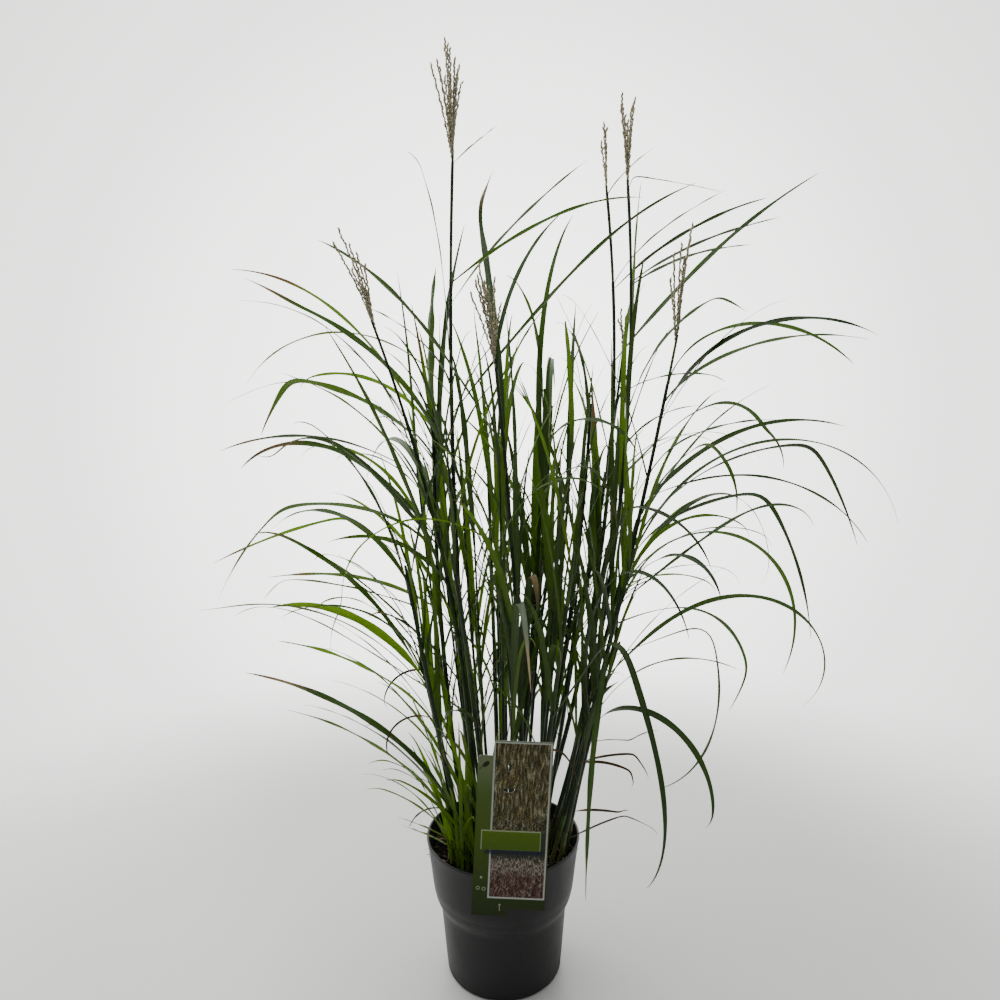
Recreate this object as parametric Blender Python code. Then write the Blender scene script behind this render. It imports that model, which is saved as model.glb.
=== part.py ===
# Ornamental grass clump in a round nursery pot, with its plant label.
# Metres, +Z up. Origin: centre of the pot's foot, on the surface it stands on. -Y is the label's side.

import math

import bmesh
import bpy
from mathutils import Matrix, Vector

# Pot
pot_height = 0.196
rim_radius = 0.1085
collar_foot_radius = 0.0957
collar_foot_height = 0.109
body_top_radius = 0.0900
foot_ring_radius = 0.0775
foot_bend = 0.004
foot_pad_radius = 0.020
rim_lip = 0.0016
wall = 0.0018
floor_rise = 0.003
pot_sides = 40
soil_sides = 26
drain_notches = 8
drain_holes = 6

# Soil
soil_top = 0.168
soil_foot = 0.0056
soil_clearance = 0.0005
socket_depth = 0.020
socket_clearance = 0.0009
socket_sides = 6

# Plant label
label_width = 0.094
label_height = 0.235
label_sheet = 0.0006
label_foot_height = 0.147
label_foot_x = -0.042
label_tilt = math.radians(3.2)
label_back_y = -0.1092
tongue_width = 0.032

# Grass
gap = 0.0003
culm_sides = 6
culm_rings = 8
leaf_stations = 12
leaf_thickness = 0.0009
plume_finger_sides = 4
plume_finger_rings = 4

# Each culm: where it stands on the soil (x, y), a point half way up, and its top.
flowering_culms = {
    "flowering_culm_1": ((-0.030, -0.010), (-0.059, -0.018, 0.62), (-0.055, -0.020, 1.118)),
    "flowering_culm_2": ((0.045, 0.020), (0.138, 0.030, 0.56), (0.147, 0.030, 1.089)),
    "flowering_culm_3": ((0.058, -0.012), (0.148, -0.030, 0.58), (0.165, -0.030, 1.078)),
    "flowering_culm_4": ((0.066, -0.034), (0.160, -0.050, 0.56), (0.226, -0.050, 0.883)),
    "flowering_culm_5": ((0.026, -0.034), (0.020, -0.065, 0.53), (-0.004, -0.080, 0.853)),
    "flowering_culm_6": ((-0.040, -0.030), (-0.075, -0.045, 0.60), (-0.159, -0.050, 0.905)),
    "flowering_culm_7": ((0.040, 0.045), (0.125, 0.050, 0.54), (0.175, 0.050, 0.876)),
}
leafy_culms = {
    "leafy_culm_01": ((-0.050, 0.004), (-0.083, 0.004, 0.50), (-0.088, 0.002, 0.80)),
    "leafy_culm_02": ((-0.046, -0.044), (-0.088, -0.066, 0.40), (-0.118, -0.094, 0.60)),
    "leafy_culm_03": ((-0.040, 0.036), (-0.068, 0.055, 0.50), (-0.088, 0.085, 0.78)),
    "leafy_culm_04": ((-0.018, -0.050), (-0.036, -0.085, 0.42), (-0.058, -0.125, 0.62)),
    "leafy_culm_05": ((0.008, -0.058), (0.014, -0.095, 0.40), (0.022, -0.135, 0.58)),
    "leafy_culm_06": ((0.036, -0.056), (0.066, -0.090, 0.42), (0.088, -0.125, 0.62)),
    "leafy_culm_07": ((0.020, 0.058), (0.056, 0.090, 0.50), (0.080, 0.120, 0.80)),
    "leafy_culm_08": ((0.034, -0.004), (0.096, 0.008, 0.50), (0.125, 0.012, 0.80)),
    "leafy_culm_09": ((0.074, -0.052), (0.122, -0.074, 0.42), (0.166, -0.100, 0.62)),
    "leafy_culm_10": ((0.078, 0.008), (0.134, 0.012, 0.42), (0.190, 0.016, 0.64)),
    "leafy_culm_11": ((0.062, 0.044), (0.112, 0.078, 0.45), (0.160, 0.115, 0.70)),
    "leafy_culm_12": ((0.088, -0.016), (0.118, -0.022, 0.33), (0.160, -0.028, 0.48)),
    "leafy_culm_13": ((-0.062, -0.018), (-0.082, -0.026, 0.32), (-0.108, -0.036, 0.46)),
}
flowering_radii = (0.0030, 0.0013)
leafy_radii = (0.0032, 0.0016)

# Each plume: height above its culm, sideways lean of its tip (x, y), how many fingers, and their spread.
plumes = {
    "plume_1": (0.132, (0.002, 0.006), 8, 0.011),
    "plume_2": (0.080, (-0.008, 0.004), 4, 0.006),
    "plume_3": (0.104, (-0.004, -0.004), 5, 0.013),
    "plume_4": (0.134, (0.026, -0.004), 5, 0.014),
    "plume_5": (0.112, (-0.014, -0.004), 7, 0.016),
    "plume_6": (0.110, (-0.046, -0.006), 6, 0.009),
    "plume_7": (0.052, (-0.004, 0.002), 3, 0.004),
}
finger_radius = 0.0013

# Each leaf: its culm, the height where it leaves it, compass direction seen from above (0 is +X, 90 is +Y),
# length, the slope that it starts and ends with, how late it bends, blade width, twist,
# and, if it is creased, how far along and by how much.
leaf_table = (
    ("leafy_culm_01", 0.741, 172, 0.390, 65, 3, 1.6, 6, 55),
    ("flowering_culm_1", 0.688, 195, 0.382, 84, 11, 0.83, 9, -60, 0.82, 11),
    ("flowering_culm_5", 0.746, 160, 0.380, 57, 23, 2.2, 10, 50),
    ("leafy_culm_01", 0.727, 205, 0.290, 59, -3, 0.7, 11, -50, 0.73, -65),
    ("leafy_culm_03", 0.673, 150, 0.500, 34, -17, 0.84, 7, 45),
    ("leafy_culm_01", 0.621, 188, 0.310, 52, -53, 2.2, 9, 60),
    ("leafy_culm_01", 0.590, 180, 0.390, 76, -37, 0.51, 7, -40, 0.59, -29),
    ("leafy_culm_01", 0.533, 163, 0.420, 57, 14, 0.5, 6, 50, 0.41, -40),
    ("leafy_culm_13", 0.431, 190, 0.240, 57, -11, 1.4, 10, -60),
    ("leafy_culm_13", 0.363, 180, 0.250, 70, 10, 0.5, 11, 50),
    ("flowering_culm_5", 0.607, 200, 0.340, 38, -152, 1.65, 9, 30, 0.83, 53),
    ("flowering_culm_2", 0.860, 5, 0.380, 50, 30, 1.4, 9, 55),
    ("flowering_culm_1", 0.790, 7, 0.450, 50, 20, 2.8, 9, -50),
    ("flowering_culm_3", 0.796, -25, 0.210, 72, 12, 1.16, 12, 40, 0.81, -51),
    ("flowering_culm_4", 0.822, 8, 0.298, 84, -42, 0.6, 8, -45),
    ("flowering_culm_4", 0.787, -10, 0.300, 66, -31, 1.04, 10, 55),
    ("flowering_culm_3", 0.707, 30, 0.380, 37, -134, 2.5, 10, -35, 0.79, 39),
    ("flowering_culm_4", 0.664, 10, 0.320, 51, -16, 1.1, 8, 60),
    ("leafy_culm_10", 0.551, -4, 0.520, 69, -80, 1.5, 7, 40),
    ("flowering_culm_4", 0.605, 20, 0.510, 74, -22, 0.54, 8, -55, 0.65, -47),
    ("flowering_culm_4", 0.590, -26, 0.376, 78, -19, 0.5, 9, 45, 0.51, -66),
    ("leafy_culm_10", 0.520, 14, 0.490, 67, -120, 1.0, 9, -45),
    ("leafy_culm_12", 0.437, -6, 0.430, 48, -145, 1.9, 8, 50),
    ("leafy_culm_12", 0.462, -25, 0.380, 27, -57, 2.5, 8, -40, 0.32, -99),
    ("leafy_culm_12", 0.362, -38, 0.270, 63, -105, 0.8, 10, 45, 0.94, -24),
    ("leafy_culm_06", 0.400, -50, 0.460, 54, -12, 4.2, 10, 30, 0.34, -118),
    ("leafy_culm_09", 0.482, -110, 0.290, -45, -88, 1.0, 7, 40),
    ("leafy_culm_05", 0.420, -88, 0.400, 74, -45, 1.3, 11, 35),
    ("leafy_culm_07", 0.660, 84, 0.520, 68, -45, 1.5, 10, 40),
    ("leafy_culm_03", 0.560, 118, 0.500, 66, -60, 1.4, 9, -40),
)


def clear_scene():
    for item in list(bpy.data.objects):
        bpy.data.objects.remove(item, do_unlink=True)


def make_material(name, colour, roughness):
    material = bpy.data.materials.new(name)
    material.use_nodes = True
    shader = material.node_tree.nodes["Principled BSDF"]
    shader.inputs["Base Color"].default_value = (*colour, 1.0)
    shader.inputs["Roughness"].default_value = roughness
    shader.inputs["Metallic"].default_value = 0.0
    return material


def add_object(name, mesh_data, material, smooth_angle=35):
    """Turn a bmesh into a scene object with its own material."""
    bmesh.ops.recalc_face_normals(mesh_data, faces=mesh_data.faces)
    mesh = bpy.data.meshes.new(name)
    mesh_data.to_mesh(mesh)
    mesh_data.free()
    mesh.shade_smooth()
    mesh.set_sharp_from_angle(angle=math.radians(smooth_angle))
    mesh.materials.append(material)
    item = bpy.data.objects.new(name, mesh)
    bpy.context.collection.objects.link(item)
    return item


def as_cutter(item):
    item.hide_render = True
    item.display_type = "WIRE"
    return item


def cut(item, cutter):
    boolean = item.modifiers.new("cut by " + cutter.name, "BOOLEAN")
    boolean.operation = "DIFFERENCE"
    boolean.object = cutter


def turn_profile(mesh_data, profile, sides):
    """Revolve (radius, height) points about Z. A point at radius 0 becomes one pole."""
    rings = []
    for radius, height in profile:
        if radius == 0.0:
            rings.append([mesh_data.verts.new((0.0, 0.0, height))])
            continue
        ring = []
        for side in range(sides):
            angle = 2 * math.pi * side / sides
            ring.append(mesh_data.verts.new((radius * math.cos(angle), radius * math.sin(angle), height)))
        rings.append(ring)
    for lower, upper in zip(rings[:-1], rings[1:]):
        join_rings(mesh_data, lower, upper)
    return rings


def join_rings(mesh_data, lower, upper):
    count = max(len(lower), len(upper))
    for side in range(count):
        after = (side + 1) % count
        corners = [lower[side % len(lower)], lower[after % len(lower)]]
        corners += [upper[after % len(upper)], upper[side % len(upper)]]
        unique = list(dict.fromkeys(corners))
        mesh_data.faces.new(unique)


def tube(mesh_data, points, radii, sides, level_ends=False):
    """Sweep a round section along points; the section stays level where level_ends asks for it."""
    rings = []
    last = len(points) - 1
    for index, (centre, radius) in enumerate(zip(points, radii)):
        ahead = points[min(index + 1, last)] - points[max(index - 1, 0)]
        along = ahead.normalized()
        if level_ends and index < 2:
            along = Vector((0.0, 0.0, 1.0))
        across = Vector((0.0, 1.0, 0.0)).cross(along).normalized()
        other = along.cross(across)
        ring = []
        for side in range(sides):
            angle = 2 * math.pi * (side + 0.5) / sides
            ring.append(mesh_data.verts.new(centre + radius * (math.cos(angle) * across + math.sin(angle) * other)))
        rings.append(ring)
    for lower, upper in zip(rings[:-1], rings[1:]):
        join_rings(mesh_data, lower, upper)
    mesh_data.faces.new(list(reversed(rings[0])))
    mesh_data.faces.new(rings[-1])


def arc_points(centre, radius, start, end, steps):
    """Points of an arc in the (radius, height) plane, angles in degrees."""
    points = []
    for step in range(steps + 1):
        angle = math.radians(start + (end - start) * step / steps)
        points.append((centre[0] + radius * math.cos(angle), centre[1] + radius * math.sin(angle)))
    return points


def build_pot(material):
    """One moulded shell: foot ring and pad, tapered wall, step, deep collar and a rolled rim."""
    profile = [(foot_pad_radius, 0.0), (foot_pad_radius + 0.002, floor_rise)]
    profile += [(foot_ring_radius - 0.006, floor_rise), (foot_ring_radius - 0.004, 0.0)]
    profile += arc_points((foot_ring_radius, foot_bend), foot_bend, -90, 0, 3)
    profile += [(body_top_radius - 0.0006, collar_foot_height - 0.010)]
    profile += [(body_top_radius + 0.0015, collar_foot_height - 0.004)]
    profile += [(collar_foot_radius - 0.0005, collar_foot_height - 0.001), (collar_foot_radius, collar_foot_height)]
    profile += arc_points((rim_radius - rim_lip, pot_height - rim_lip), rim_lip, 0, 180, 4)
    profile += [(collar_foot_radius - wall, collar_foot_height + 0.002)]
    profile += [(body_top_radius - wall, collar_foot_height - 0.006)]
    profile += [(foot_ring_radius + 0.0012, 0.009), (foot_ring_radius - 0.002, floor_rise + wall)]
    profile += [(0.0, floor_rise + wall)]
    shell = bmesh.new()
    pad = turn_profile(shell, profile, pot_sides)[0]
    third = pot_sides // 3
    shell.faces.new((pad[0], pad[third], pad[2 * third + 1]))
    for arc in (pad[:third + 1], pad[third:2 * third + 2], pad[2 * third + 1:] + pad[:1]):
        shell.faces.new(arc)
    pot = add_object("pot", shell, material)
    cut(pot, build_drain_cutter())
    return pot


def build_drain_cutter():
    """Notches through the foot ring and round holes through the floor, all in one cutter."""
    cutter = bmesh.new()
    notch_size = (0.020, 0.016, 0.0052)
    for index in range(drain_notches):
        angle = 2 * math.pi * (index + 0.5) / drain_notches + math.radians(16)
        place = Matrix.Rotation(angle, 4, "Z") @ Matrix.Translation((foot_ring_radius + 0.001, 0.0, 0.0))
        shape = Matrix.Diagonal((notch_size[1], notch_size[0], notch_size[2], 1.0))
        bmesh.ops.create_cube(cutter, size=1.0, matrix=place @ shape)
    for index in range(drain_holes):
        angle = 2 * math.pi * index / drain_holes
        place = Matrix.Translation((0.045 * math.cos(angle), 0.045 * math.sin(angle), floor_rise))
        bmesh.ops.create_cone(cutter, cap_ends=True, segments=8, radius1=0.005, radius2=0.005,
                              depth=0.012, matrix=place)
    return as_cutter(add_object("drain_cutter", cutter, make_material("cutter", (1.0, 0.2, 0.2), 0.5)))


def build_soil(material, culm_bases):
    """Peat root ball: fills the pot with a small clearance, slightly dished, with a socket for each culm."""
    inner_foot = foot_ring_radius - 0.0012
    inner_body = body_top_radius - wall - soil_clearance - 0.0014
    slope = (rim_radius - collar_foot_radius) / (pot_height - collar_foot_height)
    inner_top = collar_foot_radius - wall + (soil_top - collar_foot_height) * slope - 0.0020
    profile = [(0.0, soil_foot), (inner_foot - 0.004, soil_foot), (inner_foot - 0.0008, 0.011)]
    profile += [(inner_body - 0.0004, collar_foot_height - 0.007)]
    profile += [(collar_foot_radius - wall - 0.0036, collar_foot_height + 0.004)]
    profile += [(inner_top, soil_top + 0.001), (inner_top - 0.006, soil_top - 0.001)]
    profile += [(inner_top - 0.020, soil_top), (0.0, soil_top)]
    ball = bmesh.new()
    turn_profile(ball, profile, soil_sides)
    soil = add_object("soil", ball, material)
    cutter = bmesh.new()
    for (x, y), radius in culm_bases:
        depth = socket_depth + 0.010
        place = Matrix.Translation((x, y, soil_top + 0.010 - depth / 2))
        bmesh.ops.create_cone(cutter, cap_ends=True, segments=socket_sides, radius1=radius, radius2=radius,
                              depth=depth, matrix=place)
    cut(soil, as_cutter(add_object("socket_cutter", cutter, make_material("cutter", (1.0, 0.2, 0.2), 0.5))))
    return soil


def rounded_corner(corner, before, after, radius, steps=3):
    """Replace an outline's corner by a short curve between its two sides."""
    point = Vector(corner)
    start = point + (Vector(before) - point).normalized() * radius
    end = point + (Vector(after) - point).normalized() * radius
    curve = []
    for step in range(steps + 1):
        part = step / steps
        curve.append(start * (1 - part) ** 2 + point * 2 * part * (1 - part) + end * part ** 2)
    return curve


def extrude_outline(outline, y_front, y_back):
    """A flat closed prism from an outline in X and Z."""
    prism = bmesh.new()
    front = [prism.verts.new((point[0], y_front, point[1])) for point in outline]
    back = [prism.verts.new((point[0], y_back, point[1])) for point in outline]
    prism.faces.new(front)
    prism.faces.new(list(reversed(back)))
    join_rings(prism, front, back)
    return prism


def build_label(material):
    """Printed card outside the rim, with a tongue folded back over the rim and down inside the pot."""
    step_up = 0.010
    strip_drop = 0.020
    strip_width = 0.020
    sharp = [(0.0, 0.0), (0.046, 0.0), (0.046, step_up), (label_width, step_up)]
    sharp += [(label_width, label_height), (strip_width, label_height)]
    sharp += [(strip_width, label_height - strip_drop), (0.0, label_height - strip_drop)]
    outline = []
    for index, corner in enumerate(sharp):
        radius = 0.006 if index == 7 else 0.0015
        outline += rounded_corner(corner, sharp[index - 1], sharp[(index + 1) % len(sharp)], radius)
    place = Matrix.Translation((label_foot_x, 0.0, label_foot_height)) @ Matrix.Rotation(label_tilt, 4, "Y")
    card = extrude_outline(outline, label_back_y - label_sheet, label_back_y)
    bmesh.ops.transform(card, matrix=place, verts=card.verts)
    label = add_object("plant_label", card, material, 30)

    # The tongue's section, in (y, z): out of the card's back, over the rim, down behind the wall.
    reach = 0.0105
    over = pot_height + 0.0008
    tip = soil_top + 0.0040
    front = label_back_y - 0.0002
    section = [(front, over), (front, over + label_sheet), (label_back_y + reach, over + label_sheet)]
    section += [(label_back_y + reach + label_sheet, over), (label_back_y + reach + label_sheet, tip)]
    section += [(label_back_y + reach, tip), (label_back_y + reach, over)]
    hook = bmesh.new()
    middle = label_foot_x + 0.050
    left = [hook.verts.new((middle - tongue_width / 2, y, z)) for y, z in section]
    right = [hook.verts.new((middle + tongue_width / 2, y, z)) for y, z in section]
    hook.faces.new(left)
    hook.faces.new(list(reversed(right)))
    join_rings(hook, left, right)
    tongue = as_cutter(add_object("tongue_helper", hook, material))
    union = label.modifiers.new("tongue", "BOOLEAN")
    union.operation = "UNION"
    union.object = tongue

    # Half-moon hanging slit and the small hole above it.
    slots = bmesh.new()
    moon = [Vector((0.0405 + 0.0075 * math.cos(a), 0.172 + 0.0048 * math.sin(a)))
            for a in (math.pi * (1 + step / 6) for step in range(7))]
    keyhole = [Vector((0.0405 + 0.0016 * math.cos(a), 0.200 + 0.0055 * math.sin(a)))
               for a in (2 * math.pi * step / 8 for step in range(8))]
    for shape in (moon, keyhole):
        front_ring = [slots.verts.new((p[0], label_back_y - 0.003, p[1])) for p in shape]
        back_ring = [slots.verts.new((p[0], label_back_y + 0.003, p[1])) for p in shape]
        slots.faces.new(front_ring)
        slots.faces.new(list(reversed(back_ring)))
        join_rings(slots, front_ring, back_ring)
    bmesh.ops.transform(slots, matrix=place, verts=slots.verts)
    cut(label, as_cutter(add_object("slot_cutter", slots, material)))
    return label


def culm_point(shape, height):
    """Point on a culm's centre line: the curve through its base, middle and top, read by height."""
    base, middle, top = shape
    low = Vector((base[0], base[1], soil_top))
    mid = Vector(middle)
    high = Vector(top)
    part = (height - low.z) / (high.z - low.z)
    bend = (mid.z - low.z) / (high.z - low.z)
    low_share = (part - bend) * (part - 1) / bend
    mid_share = part * (part - 1) / (bend * (bend - 1))
    high_share = part * (part - bend) / (1 - bend)
    return low * low_share + mid * mid_share + high * high_share


def build_culm(name, shape, radii, material):
    base = shape[0]
    top_height = shape[2][2]
    points = [Vector((base[0], base[1], soil_top - socket_depth + gap))]
    for ring in range(culm_rings):
        points.append(culm_point(shape, soil_top + (top_height - soil_top) * ring / (culm_rings - 1)))
    widths = [radii[0]]
    for ring in range(culm_rings):
        widths.append(radii[0] + (radii[1] - radii[0]) * ring / (culm_rings - 1))
    stem = bmesh.new()
    tube(stem, points, widths, culm_sides, level_ends=True)
    return add_object(name, stem, material, 80)


def radius_at(name, height):
    shape, radii = all_culms[name]
    part = (height - soil_top) / (shape[2][2] - soil_top)
    return radii[0] + (radii[1] - radii[0]) * part


def leaf_slope(part, rise, fall, late, crease_at, crease):
    """Slope of the blade above the horizontal, in radians, at part (0 to 1) of its length."""
    slope = rise + (fall - rise) * part ** late
    slope += crease / (1 + math.exp(-(part - crease_at) / 0.02))
    return math.radians(slope)


def build_leaf(name, row, material):
    """A long thin blade with a shallow V section, thinning to its tip."""
    culm, height, compass, length, rise, fall, late, width, twist = row[:9]
    crease_at, crease = row[9:] if len(row) > 9 else (1.0, 0.0)
    heading = math.radians(compass)
    outward = Vector((math.cos(heading), math.sin(heading), 0.0))
    level = Vector((-math.sin(heading), math.cos(heading), 0.0))
    shape, _ = all_culms[culm]
    start_gap = radius_at(culm, height) + leaf_thickness + 2 * gap
    point = culm_point(shape, height) + outward * start_gap
    steps = 48
    blade = bmesh.new()
    rings = []
    for step in range(steps + 1):
        part = step / steps
        slope = leaf_slope(part, rise, fall, late, crease_at, crease)
        along = outward * math.cos(slope) + Vector((0.0, 0.0, math.sin(slope)))
        if step % (steps // leaf_stations) == 0:
            turn = Matrix.Rotation(math.radians(twist) * part, 3, along)
            side = turn @ level
            face = side.cross(along)
            half = 0.0005 * width * (0.55 + 0.45 * min(1.0, part / 0.25)) * (1 - part ** 3) + 0.0006
            thick = leaf_thickness * (1 - 0.5 * part)
            fold = 0.25 * half
            corners = (point - side * half - face * fold, point + face * thick / 2,
                       point + side * half - face * fold, point - face * thick / 2)
            rings.append([blade.verts.new(corner) for corner in corners])
        point = point + along * (length / steps)
    for lower, upper in zip(rings[:-1], rings[1:]):
        join_rings(blade, lower, upper)
    for ring in (rings[0], rings[-1]):
        blade.faces.new((ring[0], ring[1], ring[3]))
        blade.faces.new((ring[2], ring[3], ring[1]))
    return add_object(name, blade, material, 80)


def build_plume(name, culm_name, shape, material):
    """Flower head: a short central axis with thin fingers fanning upwards, joined into one solid."""
    height, lean, fingers, spread = shape
    top = Vector(flowering_culms[culm_name][2])
    foot = top + Vector((0.0, 0.0, gap))
    tip = foot + Vector((lean[0], lean[1], height))
    axis = bmesh.new()
    tube(axis, [foot, foot.lerp(tip, 0.12), foot.lerp(tip, 0.45)], (0.0016, 0.0019, 0.0010), 6)
    head = add_object(name, axis, material, 60)
    for finger in range(fingers):
        angle = 2.4 * finger + 0.4
        out = Vector((math.cos(angle), 0.7 * math.sin(angle), 0.0))
        start = foot.lerp(tip, 0.06 + 0.20 * finger / fingers)
        reach = 0.98 - 0.22 * ((finger * 3) % 5) / 5
        points = []
        radii = []
        for ring in range(plume_finger_rings):
            part = ring / (plume_finger_rings - 1)
            centre = start.lerp(foot.lerp(tip, reach), part)
            points.append(centre + out * spread * part ** 0.7)
            radii.append(finger_radius * (1.0 - 0.45 * part))
        arm = bmesh.new()
        tube(arm, points, radii, plume_finger_sides)
        helper = as_cutter(add_object(f"{name}_finger_{finger}", arm, material))
        union = head.modifiers.new("finger", "BOOLEAN")
        union.operation = "UNION"
        union.object = helper
    return head


def build_grass():
    green = make_material("culm_green", (0.10, 0.16, 0.04), 0.55)
    dark = make_material("flowering_culm_green", (0.06, 0.07, 0.04), 0.50)
    blade_green = make_material("leaf_green", (0.12, 0.22, 0.04), 0.50)
    straw = make_material("plume_straw", (0.50, 0.42, 0.28), 0.80)
    for name, shape in flowering_culms.items():
        build_culm(name, shape, flowering_radii, dark)
        plume_name = name.replace("flowering_culm", "plume")
        build_plume(plume_name, name, plumes[plume_name], straw)
    for name, shape in leafy_culms.items():
        build_culm(name, shape, leafy_radii, green)
    for index, row in enumerate(leaf_table):
        build_leaf(f"leaf_{index + 1:02d}", row, blade_green)


all_culms = {name: (shape, flowering_radii) for name, shape in flowering_culms.items()}
all_culms.update({name: (shape, leafy_radii) for name, shape in leafy_culms.items()})


def main():
    clear_scene()
    build_pot(make_material("pot_plastic", (0.035, 0.037, 0.040), 0.60))
    sockets = [(shape[0], radii[0] + socket_clearance) for shape, radii in all_culms.values()]
    build_soil(make_material("peat", (0.045, 0.030, 0.020), 0.95), sockets)
    build_label(make_material("printed_card", (0.45, 0.50, 0.25), 0.35))
    build_grass()


main()
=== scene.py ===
# Ornamental grass clump in a round nursery pot with its plant label: the looks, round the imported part.
# Metres, +Z up. Origin: centre of the pot's foot, on the floor. -Y is the label's side.

import math
import random

import bmesh
import bpy
from mathutils import Matrix, Vector, noise


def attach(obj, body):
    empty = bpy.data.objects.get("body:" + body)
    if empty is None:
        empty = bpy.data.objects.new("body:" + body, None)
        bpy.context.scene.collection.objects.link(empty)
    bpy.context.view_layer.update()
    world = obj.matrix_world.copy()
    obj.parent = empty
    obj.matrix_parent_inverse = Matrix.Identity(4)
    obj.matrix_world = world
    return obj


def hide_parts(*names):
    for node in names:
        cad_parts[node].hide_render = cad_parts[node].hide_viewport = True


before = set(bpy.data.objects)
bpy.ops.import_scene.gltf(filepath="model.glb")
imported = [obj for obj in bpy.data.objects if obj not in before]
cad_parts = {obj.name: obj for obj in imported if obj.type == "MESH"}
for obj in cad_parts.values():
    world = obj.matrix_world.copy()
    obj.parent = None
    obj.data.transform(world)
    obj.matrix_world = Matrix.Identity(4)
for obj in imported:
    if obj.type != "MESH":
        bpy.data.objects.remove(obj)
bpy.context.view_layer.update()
up = Vector((0.0, 0.0, 1.0))


# Shader and geometry node helpers

def put(tree, target, value):
    if isinstance(value, bpy.types.NodeSocket):
        tree.links.new(value, target)
    else:
        target.default_value = value


def addNode(tree, kind, inputs=None, **settings):
    node = tree.nodes.new(kind)
    for name, value in settings.items():
        setattr(node, name, value)
    for name, value in (inputs or {}).items():
        put(tree, node.inputs[name], value)
    return node


def calc(tree, operation, a, b=0.0, c=0.0):
    node = addNode(tree, "ShaderNodeMath", {0: a, 1: b, 2: c}, operation=operation)
    return node.outputs[0]


def limited(tree, value):
    return addNode(tree, "ShaderNodeClamp", {"Value": value}).outputs[0]


def smooth(tree, value, low, high):
    node = addNode(tree, "ShaderNodeMapRange", {"Value": value, "From Min": low, "From Max": high},
                   interpolation_type="SMOOTHSTEP")
    return node.outputs["Result"]


def mixColour(tree, share, a, b, mode="MIX"):
    node = addNode(tree, "ShaderNodeMix", {0: share}, data_type="RGBA", blend_type=mode)
    for index, colour in ((6, a), (7, b)):
        linked = isinstance(colour, bpy.types.NodeSocket)
        put(tree, node.inputs[index], colour if linked else (*colour, 1.0))
    return node.outputs[2]


def ramp(tree, value, stops):
    node = addNode(tree, "ShaderNodeValToRGB", {"Fac": value})
    points = node.color_ramp.elements
    while len(points) < len(stops):
        points.new(0.5)
    for point, (place, colour) in zip(points, stops):
        point.position = place
        point.color = (*colour, 1.0)
    return node.outputs["Color"]


def grain(tree, place, scale, detail=3.0, rough=0.55, stretch=(1.0, 1.0, 1.0)):
    moved = addNode(tree, "ShaderNodeMapping", {"Vector": place, "Scale": stretch}).outputs[0]
    node = addNode(tree, "ShaderNodeTexNoise",
                   {"Vector": moved, "Scale": scale, "Detail": detail, "Roughness": rough})
    return node.outputs[0]


def readValue(tree, name):
    return addNode(tree, "ShaderNodeAttribute", attribute_name=name).outputs["Fac"]


def uvParts(tree, name):
    place = addNode(tree, "ShaderNodeUVMap", uv_map=name).outputs[0]
    parts = addNode(tree, "ShaderNodeSeparateXYZ", {0: place})
    return place, parts.outputs[0], parts.outputs[1]


def objectPlace(tree):
    return addNode(tree, "ShaderNodeTexCoord").outputs["Object"]


def newGroup(name, outputs, inputs=()):
    group = bpy.data.node_groups.new(name, "ShaderNodeTree")
    for label, kind in inputs:
        group.interface.new_socket(name=label, in_out="INPUT", socket_type=kind)
    for label, kind in outputs:
        group.interface.new_socket(name=label, in_out="OUTPUT", socket_type=kind)
    return group


def endGroup(group, values):
    addNode(group, "NodeGroupOutput", values)
    return group


def newMaterial(name):
    material = bpy.data.materials.new(name)
    material.use_nodes = True
    return material, material.node_tree, material.node_tree.nodes["Principled BSDF"]


def useGroup(tree, group):
    node = tree.nodes.new("ShaderNodeGroup")
    node.node_tree = group
    return node


def addBump(tree, shader, height, strength, distance):
    bump = addNode(tree, "ShaderNodeBump", {"Height": height, "Strength": strength, "Distance": distance})
    tree.links.new(bump.outputs[0], shader.inputs["Normal"])


colourKind, valueKind = "NodeSocketColor", "NodeSocketFloat"

# Blade and culm materials

grassLook = {
    "shadeGreen": (0.018, 0.034, 0.011),
    "midGreen": (0.054, 0.098, 0.024),
    "freshGreen": (0.140, 0.205, 0.028),
    "underside": (0.085, 0.112, 0.045),
    "midrib": (0.170, 0.230, 0.090),
    "straw": (0.310, 0.225, 0.100),
    "deadTip": (0.050, 0.036, 0.020),
    "glow": (0.52, 0.70, 0.10),
    "glowShare": 0.52,
    "sheathBrown": (0.085, 0.055, 0.030),
    # Near-black stem colour: painted shade, for stems seen against the light
    "stemBacklitShade": (0.012, 0.022, 0.008),
}


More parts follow.
